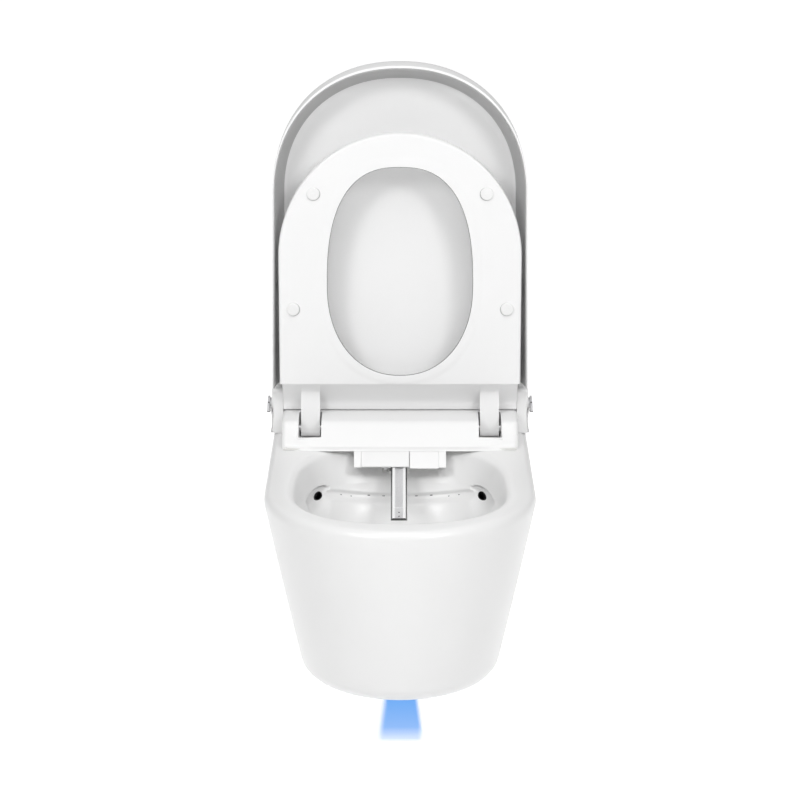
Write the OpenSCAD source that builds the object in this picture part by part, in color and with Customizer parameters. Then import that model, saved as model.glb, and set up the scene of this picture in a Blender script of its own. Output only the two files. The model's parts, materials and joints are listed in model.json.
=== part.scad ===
// Wall-hung toilet with an electric bidet seat: ceramic bowl, electric housing, seat, lid and spray wand.
// Millimetres. X is to the right, the front faces -Y, Z is up.
// The origin is on the finished wall, midway between the two fixing studs.

/* [Ceramic bowl] */
// Width of the bowl at its rim
bowl_w = 385; // [360:1:420]
// Reach of the bowl from the wall to its front
bowl_reach = 590; // [570:1:620]
// Height of the rim above the fixing studs
rim_z = 80; // [78:1:90]
// Height of the bowl from rim to underside
bowl_h = 265; // [250:1:290]
// Depth of the rounded nose of the rim
nose = 207; // [195:1:215]
// Width of the underside
foot_w = 276; // [240:1:300]
// How far the front tucks back from rim to underside
front_tuck = 37; // [20:1:60]
// Radius of the lower edge
foot_round = 24; // [10:1:30]
// Radius of the rim's outer edge
rim_round = 10; // [6:1:14]
// Thickness of the ceramic
skin = 11; // [9:0.5:13]
// Thickness of the ceramic wall at the back
back_wall = 16; // [12:1:20]
// Half width of the bowl opening
mouth_r = 151; // [144:1:152]
// Distance from the wall to the rear of the bowl opening
mouth_back = 172; // [168:1:178]
// Width of the rim in front of the opening
front_rim = 51; // [48:1:60]
// Share of the opening's length behind its widest place
mouth_share = 0.58; // [0.54:0.01:0.6]
// Depth of the basin below the rim
basin_h = 190; // [170:1:200]
// Radius of the flush outlets in the basin
jet_r = 6; // [4:0.5:8]
// Distance of each flush outlet from the middle
jet_x = 120; // [110:1:125]
// Depth of the flush outlets below the rim
jet_drop = 62; // [58:1:66]

/* [Wall connection] */
// Distance between the fixing studs
stud_pitch = 180; // [180:1:230]
// Radius of the stud holes in the ceramic
stud_hole_r = 9; // [8:0.5:12]
// Radius of the bore in the stud bushes
bush_bore_r = 6.5; // [6.2:0.1:7]
// Thickness of the wall pad
pad_t = 4; // [2:0.5:6]
// Height of the flush inlet above the studs
flush_z = 35; // [35:1:40]
// Radius of the flush inlet bore in the ceramic
flush_r = 27.5; // [25:0.5:30]
// Radius of the flush pipe that the seal takes
flush_pipe_r = 22.5; // [20:0.5:23]
// Depth of the waste outlet below the studs
waste_drop = 100; // [90:1:105]
// Outer radius of the waste spigot
waste_r = 51; // [45:0.5:51]
// Radius of the trap passage
trap_r = 28; // [25:1:30]

/* [Housing] */
// Width across the ears of the housing
housing_w = 392; // [388:1:400]
// Width of the low front section of the housing
front_w = 356; // [350:1:360]
// Distance from the wall to the foot of the sloped front
slope_foot = 196; // [192:1:200]
// Distance from the wall to the top of the sloped front
slope_top = 165; // [160:1:170]
// Height of the low front section above the rim
front_h = 37; // [36:1:38]
// Height of the rear block above the rim
block_h = 72; // [70:1:76]
// Distance from the wall to the front of the rear block
block_y = 60; // [56:1:61]
// Distance from the wall to the front of the ears
ear_y = 100; // [96:1:101]
// Gap between the back of the housing and the wall
wall_gap = 12; // [8:1:14]
// Wall thickness of the plastic housing
shell = 2.5; // [2:0.1:3]
// Gap that seats the housing on the ceramic
seat_gap = 0.3; // [0.2:0.1:0.5]

/* [Lid] */
// Width of the lid
lid_w = 386; // [382:1:390]
// Distance from the wall to the lid's hinge axis
lid_axis_y = 85; // [84:1:86]
// Height of the lid's hinge axis above the rim
lid_axis_h = 60; // [59:1:61]
// Reach of the closed lid from the wall
lid_reach = 592; // [588:1:600]
// Angle by which the raised lid has turned from closed
lid_open = 92; // [90:0.5:93]
// Gap between the closed lid's rim and the ceramic
lid_gap = 3; // [2:0.5:4]
// Wall thickness of the lid
lid_t = 3; // [2.5:0.5:4]
// Thickness of the lid's liner panel
liner_t = 2.5; // [2:0.5:3]
// Air between the lid's outer and inner panels
lid_air = 3; // [2:0.5:4]
// Radius of the lid's upper edge
lid_round = 22; // [16:1:26]
// Distance from the wall to the rear end of the lid's side walls
skirt_y = 105; // [104:1:110]
// Radius of the lid's hinge pins
lid_pin_r = 5; // [4:0.5:6]

/* [Seat] */
// Width of the seat
seat_w = 364; // [350:1:368]
// Reach of the closed seat from the wall
seat_reach = 580; // [574:1:584]
// Distance from the wall to the seat's hinge axis
seat_axis_y = 127; // [125:1:129]
// Height of the seat's hinge axis above the rim
seat_axis_h = 16; // [15.5:0.5:17]
// Angle by which the raised seat has turned from closed
seat_open = 91; // [90.5:0.5:93]
// Height of the seat's underside above the rim
seat_lift = 3.5; // [3:0.5:5]
// Thickness of the seat
seat_t = 26; // [22:1:28]
// Half width of the seat's opening
hole_r = 107; // [100:1:112]
// Distance from the wall to the rear of the seat's opening
hole_rear = 213; // [211:1:216]
// Width of the seat in front of its opening
front_band = 51; // [46:1:60]
// Nearest and farthest side of each hinge arm from the middle
arm_x = [121, 148.5];
// Radius of the seat's hinge barrels
barrel_r = 12; // [11:0.5:12.5]
// Radius of the seat's hinge shafts
shaft_r = 5; // [4:0.5:6]

/* [Spray wand] */
// Sideways place of the wand
wand_x = -1.5; // [-3:0.5:0]
// Width of the wand
wand_w = 24; // [20:1:24]
// Depth of the wand's section
wand_h = 17; // [14:1:17]
// Dip of the wand below level
wand_dip = 18; // [17:0.5:19]
// Travel of the wand
wand_stroke = 128; // [110:1:128]
// Length of the wand that stays in the guide
wand_tail = 30; // [24:1:30]
// Distance from the wall to the port on the wand's axis
port_y = 219; // [217:1:221]
// Depth of the wand's axis below the rim at the port
port_drop = 27; // [26.6:0.1:28]
// Height of the blunt end of the wand's tip
tip_h = 4; // [3:0.5:6]
// Radius of the spray holes
spray_r = 0.9; // [0.6:0.1:1.2]
// Lead of the drive screw
screw_lead = 8; // [4:1:12]
// Radius of the drive screw
screw_r = 2.5; // [2:0.1:3]

/* [Flaps] */
// Half width of the flap opening
flap_r = 57.5; // [50:0.5:60]
// Sideways place of the seam between the flaps
seam_x = 14; // [13:0.5:16]
// Gap at the seam
seam = 1; // [0.8:0.1:1.4]
// Length of the flaps from hinge to free edge
flap_len = 29; // [27:0.5:30]
// Thickness of the flaps
flap_t = 2; // [1.6:0.1:2.4]
// Slope of the closed flaps below level
flap_slope = 41; // [40:0.5:43]
// Angle by which the extended wand holds its flap open
flap_ajar = 8; // [7:0.5:10]
// Radius of the flap hinge pin
flap_pin_r = 1.2; // [1:0.1:1.5]

/* [Side knobs] */
// Radius of the side knobs
knob_r = 13.5; // [11:0.5:15]
// How far the knobs stand out of the housing
knob_out = 10; // [8:0.5:12]
// Distance from the wall to the knobs' axis
knob_y = 72; // [68:1:74]
// Height of the knobs' axis above the rim
knob_h = 39; // [36:1:40]
// Push travel of the knobs
knob_push = 2; // [1.5:0.5:2.5]
// Turn of the knobs each way
knob_turn = 40; // [20:5:60]

/* [Fits] */
// Radial clearance of shafts, pins and sliding pieces
run = 0.05; // [0.03:0.01:0.08]
// Gap between neighbouring pieces
gap = 0.4; // [0.3:0.1:0.6]

/* [Hidden] */

$fn = 64;
white = "white";
ivory = "whitesmoke";
steel = "silver";
black = "dimgray";
eps = 0.01;
through = 400;

// Lengths that follow the reach
mouth_len = bowl_reach - front_rim - mouth_back;
mouth_rear = mouth_len * mouth_share;
mouth_front = mouth_len - mouth_rear;
mouth_y = mouth_back + mouth_rear;
hole_front = seat_reach - front_band;

// Levels
deck_z = rim_z + seat_gap;
foot_z = rim_z - bowl_h;
front_z = rim_z + front_h;
block_z = rim_z + block_h;
lid_axis = [-lid_axis_y, rim_z + lid_axis_h];
seat_axis = [-seat_axis_y, rim_z + seat_axis_h];
seat_z = rim_z + seat_lift;
seat_top_z = seat_z + seat_t;
lid_rim_z = rim_z + lid_gap;
flush_level = rim_z - jet_drop;

// ---------- general shapes ----------

// Extrudes a profile drawn in the Y-Z plane along X.
module along_x(x0, x1) {
  rotate([90, 0, 90]) translate([0, 0, x0]) linear_extrude(x1 - x0) children();
}

// A rod along X between two X places, at [y, z].
module rod_x(x0, x1, at, r) {
  translate([x0, at[0], at[1]]) rotate([0, 90, 0]) cylinder(h = x1 - x0, r = r);
}

// A rod along Y between two Y places, at [x, z].
module rod_y(y0, y1, at, r) {
  translate([at[0], y1, at[1]]) rotate([90, 0, 0]) cylinder(h = y1 - y0, r = r);
}

// A box from its lowest to its highest corner.
module block(low, high) {
  translate(low) cube(high - low);
}

// Both mirror images of a piece.
module both_sides() {
  children();
  mirror([1, 0, 0]) children();
}

// A rod between two points of the Y-Z middle plane, with rounded ends.
module bent_rod(a, b, r) {
  translate([0, a[0], a[1]]) rotate([atan2(b[1] - a[1], b[0] - a[0]) - 90, 0, 0])
    cylinder(h = norm(b - a), r = r);
  translate([0, b[0], b[1]]) sphere(r = r + 0.6, $fn = 32);
}

// Outline with straight sides from the rear and an elliptical nose at the front.
function nose_outline(half, rear, reach, depth, n = 30) = concat(
  [[half, -rear]],
  [for (i = [0:n]) [half * cos(180 * i / n), -(reach - depth) - depth * sin(180 * i / n)]],
  [[-half, -rear]]);

// Egg shape: a half width, a front and a rear depth, and a power for each end.
function power_of(v, p) = sign(v) * pow(abs(v), 2 / p);
function egg(half, mid, front, rear, p_front, p_rear, n = 56) = [for (i = [0:n - 1])
  let (a = 360 * i / n, p = sin(a) < 0 ? p_front : p_rear)
    [half * power_of(cos(a), p), -mid + (sin(a) < 0 ? front : rear) * power_of(sin(a), p)]];

module slab(z, t) {
  translate([0, 0, z]) linear_extrude(t) children();
}

// Turns a piece drawn in its closed place up to its raised place.
module raised(axis, angle) {
  translate([0, axis[0], axis[1]]) rotate([-angle, 0, 0]) translate([0, -axis[0], -axis[1]]) children();
}

// ---------- ceramic ----------

slice_t = 0.5;
side_power = 1.22;
tuck_power = 1.42;
nose_share = 0.525;
body_steps = [0.06, 0.26, 0.5, 0.75];

// Half width, front reach and nose depth of the body at a share of its height, drawn in by an inset.
function body_half(s) = bowl_w / 2 - (bowl_w - foot_w) / 2 * pow(s, side_power);
function body_reach(s) = bowl_reach - front_tuck * pow(s, tuck_power);
function body_nose(s) = nose - (nose - foot_w * nose_share) * s;

module body_slice(s, inset, rear) {
  slab(rim_z - bowl_h * s - slice_t / 2, slice_t)
    polygon(nose_outline(body_half(s) - inset, rear, body_reach(s) - inset, body_nose(s) - inset));
}

module bowl_outside() {
  foot_s = 1 - foot_round / bowl_h;
  edge_s = 1 - foot_round * (1 - sin(45)) / bowl_h;
  hull() {
    body_slice(slice_t / 2 / bowl_h, rim_round, pad_t);
    body_slice(rim_round * (1 - sin(45)) / bowl_h, rim_round * (1 - cos(45)), pad_t);
    for (s = body_steps) body_slice(s, 0, pad_t);
    body_slice(foot_s, 0, pad_t);
    body_slice(edge_s, foot_round * (1 - cos(45)), pad_t);
    body_slice(1 - slice_t / 2 / bowl_h, foot_round, pad_t);
  }
}

module bowl_hollow() {
  hull() {
    body_slice((skin + 3) / bowl_h, skin, pad_t + back_wall);
    for (s = body_steps) if (s > 0.1) body_slice(s, skin, pad_t + back_wall);
    body_slice(1 - skin / bowl_h, skin + foot_round * 0.6, pad_t + back_wall);
  }
}

basin_mid = mouth_y - 45;
basin_pull = [16, 20, 28];
sump_r = 46;

module basin_slice(z, narrow, front_in, rear_in, wall) {
  slab(z, slice_t) polygon(egg(mouth_r - narrow + wall, mouth_y, mouth_front - front_in + wall,
    mouth_rear - rear_in + wall, 2.3, 3));
}

// The basin's space, or its outside when given a wall.
module basin(wall) {
  hull() {
    basin_slice(rim_z - (wall > 0 ? skin / 2 : 0), 0, 0, 0, wall);
    basin_slice(flush_level - wall, basin_pull[0], basin_pull[1], basin_pull[2], wall);
    slab(rim_z - basin_h - wall, slice_t)
      polygon(egg(sump_r + wall, basin_mid, sump_r * 1.3 + wall, sump_r * 1.1 + wall, 2, 2));
  }
}

groove_h = 11;
groove_in = 5;

module flush_groove() {
  intersection() {
    slab(flush_level - groove_h, groove_h)
      polygon(egg(mouth_r - basin_pull[0] + groove_in, mouth_y, mouth_front - basin_pull[1],
        mouth_rear - basin_pull[2] + groove_in, 2.3, 3));
    block([-mouth_r, -mouth_y + mouth_rear * 0.35, foot_z], [mouth_r, 0, rim_z]);
  }
}

jet_y = mouth_y - mouth_rear * 0.79;
trap = [[-basin_mid - 10, rim_z - basin_h + trap_r], [-235, -60], [-150, -waste_drop + 4], [-90, -waste_drop]];
trap_wall = 9;
spigot_wall = 9;
spigot_end = 10;

module trap_run(r) {
  bent_rod(trap[0], trap[1], r);
  bent_rod(trap[1], trap[2], r);
  bent_rod(trap[2], trap[3], r);
}

well_half = 26;
well_drop = 3.6;
well_y = 206;
lamp_y = bowl_reach - 110;
lamp_r = 14;
deck_bolt = [92, -156];
deck_bolt_r = 4;
feed = [-130, -38];
feed_r = 8;
cable_way = [130, -38];
service_z = 42;
service_r = 18;
feeder_y = 132;
feeder_r = 8;
feeder_wall = 6;
flush_bore_r = 18.5;

// Level of a line that lies a given distance under the wand's axis, at a place along Y.
function under_wand(y, drop) = rim_z - port_drop + (y + port_y) * tan(wand_dip) - drop / cos(wand_dip);
function under_wand_y(z, drop) = -port_y + (z - rim_z + port_drop + drop / cos(wand_dip)) / tan(wand_dip);

// The notch in the rear deck that the wand's guide lies in, or its outside when given a wall.
module wand_well(wall, top) {
  drop = wand_h / 2 + well_drop + wall;
  along_x(wand_x - well_half - wall, wand_x + well_half + wall)
    polygon([[-well_y, top], [-well_y, under_wand(-well_y, drop)], [under_wand_y(top, drop), top]]);
}

module ceramic_bowl() {
  color(white) difference() {
    union() {
      difference() {
        bowl_outside();
        difference() {
          bowl_hollow();
          basin(skin);
          rod_y(-feeder_y - feeder_r - skin, -pad_t, [0, flush_z], flush_r + spigot_wall);
          rod_x(-jet_x - feeder_r - feeder_wall, jet_x + feeder_r + feeder_wall, [-feeder_y, flush_level],
            feeder_r + feeder_wall);
          both_sides() rod_y(-jet_y, -feeder_y, [jet_x, flush_level], jet_r + feeder_wall);
          wand_well(skin, rim_z);
        }
        rod_y(-60, 0, [0, -waste_drop], waste_r + 15);
      }
      trap_run(trap_r + trap_wall);
      rod_y(trap[3][0] - 20, -spigot_end, [0, -waste_drop], waste_r);
    }
    basin(0);
    flush_groove();
    trap_run(trap_r);
    rod_y(trap[3][0] + 8, 0, [0, -waste_drop], waste_r - spigot_wall);
    rod_y(-34, 0, [0, flush_z], flush_r);
    rod_y(-feeder_y - feeder_r, 0, [0, flush_z], flush_bore_r);
    rod_x(-jet_x - jet_r, jet_x + jet_r, [-feeder_y, flush_level], feeder_r);
    both_sides() rod_y(-40, 0, [stud_pitch / 2, 0], stud_hole_r);
    both_sides() rod_y(-jet_y - 12, -feeder_y, [jet_x, flush_level], jet_r);
    wand_well(0, rim_z + 1);
    both_sides() translate([deck_bolt[0], deck_bolt[1], rim_z - 30]) cylinder(h = 40, r = deck_bolt_r + gap);
    translate([feed[0], feed[1], rim_z - 30]) cylinder(h = 40, r = feed_r + 4);
    translate([cable_way[0], cable_way[1], rim_z - 30]) cylinder(h = 40, r = feed_r + 4);
    both_sides() rod_y(-40, 0, [cable_way[0], service_z], service_r);
    translate([0, -lamp_y, foot_z - 1]) cylinder(h = 30, r = lamp_r + gap);
  }
}

module wall_pad() {
  s_top = 0.1;
  s_low = 0.86;
  color(black) difference() {
    rotate([90, 0, 0]) linear_extrude(pad_t) polygon([
      [-body_half(s_top) + 6, rim_z - bowl_h * s_top], [body_half(s_top) - 6, rim_z - bowl_h * s_top],
      [body_half(s_low) - 6, rim_z - bowl_h * s_low], [-body_half(s_low) + 6, rim_z - bowl_h * s_low]]);
    rod_y(-10, 1, [0, -waste_drop], waste_r + 14);
    rod_y(-10, 1, [0, flush_z], flush_r);
    both_sides() rod_y(-10, 1, [stud_pitch / 2, 0], stud_hole_r);
    both_sides() rod_y(-10, 1, [cable_way[0], service_z], service_r);
  }
}

module stud_bushes() {
  color(ivory) both_sides() difference() {
    union() {
      rod_y(-pad_t - back_wall, 0, [stud_pitch / 2, 0], stud_hole_r - run);
      rod_y(-pad_t - back_wall - 4, -pad_t - back_wall - seat_gap, [stud_pitch / 2, 0], stud_hole_r + 5);
    }
    rod_y(-through, through, [stud_pitch / 2, 0], bush_bore_r);
  }
}

module flush_seal() {
  color(black) difference() {
    rod_y(-32, -1, [0, flush_z], flush_r - run);
    rod_y(-through, through, [0, flush_z], flush_pipe_r);
  }
}

inlet_r = 10.4;

module water_inlet() {
  color("goldenrod") difference() {
    union() {
      rod_y(-22, -6, [feed[0], service_z], inlet_r);
      rod_y(-52, -22, [feed[0], service_z], inlet_r + 3);
      rod_y(-pad_t - back_wall - 5, -pad_t - back_wall - seat_gap, [feed[0], service_z], service_r + 5);
      translate([feed[0], feed[1], service_z]) cylinder(h = 16, r = feed_r);
    }
    rod_y(-44, 0, [feed[0], service_z], inlet_r - 4);
    translate([feed[0], feed[1], service_z]) cylinder(h = 40, r = feed_r - 3);
  }
}

module feed_tube() {
  color(ivory) difference() {
    translate([feed[0], feed[1], service_z + 16]) cylinder(h = deck_z + 6 - service_z - 16, r = feed_r - 2);
    translate([feed[0], feed[1], service_z]) cylinder(h = 80, r = feed_r - 4);
  }
}

module power_gland() {
  color(black) difference() {
    union() {
      rod_y(-24, -6, [cable_way[0], service_z], service_r - 6);
      rod_y(-pad_t - back_wall - 5, -pad_t - back_wall - seat_gap, [cable_way[0], service_z], service_r + 5);
      rod_y(-44, -24, [cable_way[0], service_z], 9);
    }
    rod_y(-through, through, [cable_way[0], service_z], 4);
  }
}

module foot_lamp_body() {
  color(black) difference() {
    union() {
      translate([0, -lamp_y, foot_z + 2]) cylinder(h = 34, r = lamp_r);
      translate([0, -lamp_y, foot_z + skin + seat_gap + 0.5]) cylinder(h = 4, r = lamp_r + 6);
    }
    translate([0, -lamp_y, foot_z - 1]) cylinder(h = 12, r = lamp_r - 2);
  }
}

module foot_lamp_lens() {
  color("lightblue") translate([0, -lamp_y, foot_z + 0.5]) cylinder(h = 6, r = lamp_r - 2 - run);
}

// ---------- housing ----------

foot_lip = 4;
slope_angle = atan2(front_h - foot_lip, slope_foot - slope_top);
k_foot = tan((90 - slope_angle) / 2);
k_top = tan(slope_angle / 2);
pocket_x = [118.5, 153];
pocket_y = [110, 184];
pocket_wall = 2;
ear_x = [180, housing_w / 2];
block_round = 8;

// Side profile of the housing's middle, drawn in by an inset. Its foot is left open below.
function middle_profile(i, floor_z) = [
  [-slope_foot + i, floor_z], [-slope_foot + i, rim_z + foot_lip - i * k_foot],
  [-slope_top + i * k_top, front_z - i], [-block_y + i, front_z - i], [-block_y + i, block_z - i],
  [-wall_gap - i, block_z - i], [-wall_gap - i, floor_z]];

// Corner points of a quarter turn, from one angle to another.
function arc(at, r, a0, a1, n = 6) = [for (i = [0:n]) at + r * [cos(a0 + (a1 - a0) * i / n), sin(a0 + (a1 - a0) * i / n)]];

function ear_profile(i, floor_z) = concat(
  [[-ear_y + i, floor_z]],
  arc([-ear_y + block_round, block_z - block_round], block_round - i, 180, 90),
  [[-wall_gap - i, block_z - i], [-wall_gap - i, floor_z]]);

module housing_solid(i, floor_z) {
  along_x(-front_w / 2 + i, front_w / 2 - i) polygon(middle_profile(i, floor_z));
  block([-ear_x[1] + i, -ear_y + i, floor_z], [ear_x[1] - i, -wall_gap - i, front_z - i]);
  block([-ear_x[1] + i, -block_y + i, floor_z], [ear_x[1] - i, -wall_gap - i, block_z - i]);
  both_sides() along_x(ear_x[0] + i, ear_x[1] - i) polygon(ear_profile(i, floor_z));
}

module housing_cover() {
  color(white) difference() {
    union() {
      difference() {
        housing_solid(0, deck_z);
        housing_solid(shell, deck_z - 1);
      }
      intersection() {
        both_sides() block([pocket_x[0] - pocket_wall, -pocket_y[1] - pocket_wall, deck_z + shell + gap],
          [pocket_x[1] + pocket_wall, -pocket_y[0] + pocket_wall, front_z]);
        housing_solid(0, deck_z);
      }
    }
    both_sides() block([pocket_x[0], -pocket_y[1], rim_z + 3.8], [pocket_x[1], -pocket_y[0], front_z + 1]);
    rod_x(-165, 165, seat_axis, shaft_r + run);
    both_sides() rod_x(ear_x[0] - 1, ear_x[0] + shell + 1, lid_axis, lid_pin_r + run);
    both_sides() rod_x(ear_x[1] - 4, ear_x[1] + 1, [-knob_y, rim_z + knob_h], stem_r + gap);
    both_sides() translate([housing_w / 2 - 20, -wall_gap - 1 - 10, deck_z + 12]) rotate([-90, 0, 0])
      cylinder(h = 20, r = 2);
  }
}

module cover_screws() {
  color(steel) both_sides() {
    rod_y(-wall_gap - 12, -wall_gap + 0.5, [housing_w / 2 - 20, deck_z + 12], 2 - run);
    rod_y(-wall_gap + seat_gap, -wall_gap + 2, [housing_w / 2 - 20, deck_z + 12], 3.6);
  }
}

base_cut_y = 172;

module housing_base() {
  i = shell + gap;
  color(ivory) difference() {
    union() {
      block([-front_w / 2 + i, -slope_foot + i, deck_z], [front_w / 2 - i, -ear_y + 2 * i, deck_z + shell]);
      block([-ear_x[1] + i, -ear_y + i, deck_z], [ear_x[1] - i, -wall_gap - i, deck_z + shell]);
      both_sides() block([ear_x[1] - 30, -wall_gap - 16, deck_z], [ear_x[1] - 10, -wall_gap - i, deck_z + 18]);
    }
    block([-flap_r - 3, -slope_foot - 1, deck_z - 1], [flap_r + 3, -base_cut_y, deck_z + shell + 1]);
    block([wand_x - well_half - 1, -slope_foot - 1, deck_z - 1], [wand_x + well_half - 8, -88, deck_z + shell + 1]);
    both_sides() translate([deck_bolt[0], deck_bolt[1], deck_z - 1]) cylinder(h = 10, r = deck_bolt_r + gap);
    translate([feed[0], feed[1], deck_z - 1]) cylinder(h = 10, r = feed_r + 2);
    translate([cable_way[0], cable_way[1], deck_z - 1]) cylinder(h = 10, r = feed_r + 2);
    both_sides() rod_y(-wall_gap - 14, -wall_gap, [housing_w / 2 - 20, deck_z + 12], 2);
  }
}

module deck_bolts() {
  color(steel) both_sides() translate([deck_bolt[0], deck_bolt[1], 0]) {
    translate([0, 0, rim_z - 26]) cylinder(h = 26 + seat_gap + shell + 1, r = deck_bolt_r);
    translate([0, 0, deck_z + shell + seat_gap]) cylinder(h = 4, r = deck_bolt_r + 3);
    translate([0, 0, rim_z - 26]) cylinder(h = 10, r = deck_bolt_r + 4);
  }
}

flap_axis = [-slope_foot - 1.5, rim_z - 2.2];
cheek_x = [flap_r + gap, 69];
plate_from = 7;
plate_h = 6.5;

module port_frame() {
  color(white) both_sides() difference() {
    along_x(cheek_x[0], cheek_x[1]) polygon([
      [flap_axis[0] - 2, rim_z], [flap_axis[0] - 22, rim_z - 19], [flap_axis[0] - 18, rim_z - 25],
      [-slope_foot + 2, rim_z - 25], [-slope_foot + 14, rim_z]]);
    rod_x(cheek_x[0] - 1, cheek_x[1] - 3, flap_axis, flap_pin_r + run);
  }
  color(white) wand_frame() difference() {
    block([-well_half + gap, plate_from, -wand_h / 2 - well_drop + gap], [well_half - gap, guide_from - gap, plate_h]);
    block([-wand_w / 2 - gap, 0, -wand_h / 2 - gap], [wand_w / 2 + gap, guide_from, wand_h]);
  }
}

module flap_pin() {
  color(steel) rod_x(-cheek_x[1] + 4, cheek_x[1] - 4, flap_axis, flap_pin_r);
}

// A flap between two X places, opened by an angle from its closed slope.
module flap(x0, x1, ajar) {
  translate([0, flap_axis[0], flap_axis[1]]) rotate([flap_slope - ajar, 0, 0]) difference() {
    union() {
      block([x0, -flap_len, 0], [x1, 0, flap_t]);
      rod_x(x0, x1, [0, 0], flap_t);
    }
    rod_x(x0 - 1, x1 + 1, [0, 0], flap_pin_r + run);
  }
}

module nozzle_flap() {
  color(white) flap(-flap_r, seam_x - seam / 2, flap_ajar);
}

module dryer_flap() {
  color(white) flap(seam_x + seam / 2, flap_r, 0);
}

// ---------- spray wand ----------

// The wand's own frame: -Y runs forward and down along its axis.
module wand_frame() {
  translate([wand_x, -port_y, rim_z - port_drop]) rotate([wand_dip, 0, 0]) children();
}

wand_bevel = 2.5;
wand_wall = 1.6;
guide_from = 14;
guide_wall = 2;
guide_to = wand_stroke + wand_tail + 2;
head_len = 26;
undercut = 55;
screw_at = [-20, -3];

// Section of the wand, drawn in by an inset, with bevelled upper edges.
function wand_section(i) = [
  [-wand_w / 2 + i, -wand_h / 2 + i], [wand_w / 2 - i, -wand_h / 2 + i],
  [wand_w / 2 - i, wand_h / 2 - wand_bevel * 1.6], [wand_w / 2 - wand_bevel, wand_h / 2 - i],
  [-wand_w / 2 + wand_bevel, wand_h / 2 - i], [-wand_w / 2 + i, wand_h / 2 - wand_bevel * 1.6]];

module wand_bar(y0, y1, i) {
  translate([0, y1, 0]) rotate([90, 0, 0]) linear_extrude(y1 - y0) polygon(wand_section(i));
}

module nozzle_wand() {
  color(steel) wand_frame() difference() {
    wand_bar(-wand_stroke + head_len, wand_tail, 0);
    wand_bar(-wand_stroke + head_len - 1, wand_tail - 3, wand_wall);
    both_sides() rod_y(wand_tail - 10, wand_tail + 1, [5, 0], 2.5);
  }
}

module nozzle_head() {
  drop = wand_h - tip_h;
  tuck = drop * tan(undercut);
  color(steel) wand_frame() difference() {
    wand_bar(-wand_stroke, -wand_stroke + head_len - seat_gap, 0);
    along_x(-wand_w, wand_w) polygon([
      [-wand_stroke - 1, wand_h / 2 - tip_h], [-wand_stroke, wand_h / 2 - tip_h],
      [-wand_stroke + tuck, -wand_h / 2], [-wand_stroke + tuck, -wand_h], [-wand_stroke - 1, -wand_h]]);
    for (y = [5.5, 14.5]) translate([0, -wand_stroke + y, wand_h / 2 - 6]) cylinder(h = 10, r = spray_r);
    block([-6, -wand_stroke + 4, wand_h / 2 - 6], [6, -wand_stroke + 16, wand_h / 2 - 3]);
  }
}

module screw_nut() {
  color(ivory) wand_frame() difference() {
    union() {
      block([screw_at[0] - 5, wand_tail - 16, screw_at[1] - 5], [screw_at[0] + 5, wand_tail - 4, screw_at[1] + 5]);
      block([screw_at[0], wand_tail - 14, screw_at[1] - 2], [-wand_w / 2 - 0.02, wand_tail - 6, screw_at[1] + 3]);
    }
    rod_y(wand_tail - 17, wand_tail + 1, screw_at, screw_r + run);
  }
}

module drive_screw() {
  color(steel) wand_frame() difference() {
    rod_y(wand_tail - 16, guide_to + 4, screw_at, screw_r);
    for (y = [wand_tail + 2:screw_lead / 2:guide_to - 4]) translate([screw_at[0], y, screw_at[1]])
      rotate([90, 0, 0]) rotate_extrude() translate([screw_r, 0]) circle(r = 0.5, $fn = 16);
  }
}

module screw_motor() {
  color(steel) wand_frame() difference() {
    rod_y(guide_to + 1, guide_to + 16, screw_at, 10);
    rod_y(guide_to - 1, guide_to + 10, screw_at, screw_r + run);
  }
}

module wand_guide() {
  half = wand_w / 2 + run * 6;
  color(ivory) wand_frame() difference() {
    union() {
      block([-half - guide_wall, guide_from, -wand_h / 2 - gap - guide_wall], [half + guide_wall, guide_to,
        wand_h / 2 + gap + guide_wall]);
      block([screw_at[0] - 8, guide_to - 4, screw_at[1] - 8], [-half, guide_to, screw_at[1] + 8]);
    }
    block([-half, guide_from - 1, -wand_h / 2 - gap], [half, guide_to + 1, wand_h / 2 + gap]);
    block([-half - guide_wall - 1, guide_from - 1, screw_at[1] - 4], [-half + 1, guide_to - 1 - 4, screw_at[1] + 5]);
    rod_y(guide_to - 10, guide_to + 1, screw_at, screw_r + run);
  }
}

// ---------- water and air inside the housing ----------

inner_z = deck_z + shell + seat_gap;
ceiling = front_z - shell - gap;
rear_y = -wall_gap - shell - gap;
block_in = -block_y + shell + gap;
heater_x = [-118, -34];

module heater_tank() {
  color(ivory) difference() {
    block([heater_x[0], block_in, inner_z], [heater_x[1], rear_y, block_z - 14]);
    block([heater_x[0] + 3, block_in + 3, inner_z + 3], [heater_x[1] - 3, rear_y - 3, block_z - 13]);
  }
}

module heater_cover() {
  color(black) difference() {
    block([heater_x[0], block_in, block_z - 14 + seat_gap], [heater_x[1], rear_y, block_z - 10]);
    for (x = [heater_x[0] + 14, heater_x[1] - 14]) translate([x, (block_in + rear_y) / 2, 0])
      cylinder(h = through, r = 4);
  }
}

valve_x = [-150, heater_x[0] - 4];
valve_h = 30;

module inlet_valve() {
  coil_r = 11;
  color(black) difference() {
    union() {
      block([valve_x[0], block_in, inner_z + 4], [valve_x[1], rear_y, inner_z + valve_h]);
      translate([(valve_x[0] + valve_x[1]) / 2, (block_in + rear_y) / 2, inner_z + valve_h]) cylinder(h = 22, r = coil_r);
      translate([feed[0], feed[1], inner_z + 4 - 4]) cylinder(h = 5, r = feed_r + 2);
    }
    translate([feed[0], feed[1], inner_z - 10]) cylinder(h = 22, r = feed_r - 2 + run);
  }
}

pump_at = [-83, inner_z + 14.5];
pump_r = 14;
pump_x = [-172, -140, -128];

module water_pump() {
  color(black) {
    rod_x(pump_x[0], pump_x[1], pump_at, pump_r);
    rod_x(pump_x[1] + eps, pump_x[2], pump_at, pump_r - 5);
  }
}

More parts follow.
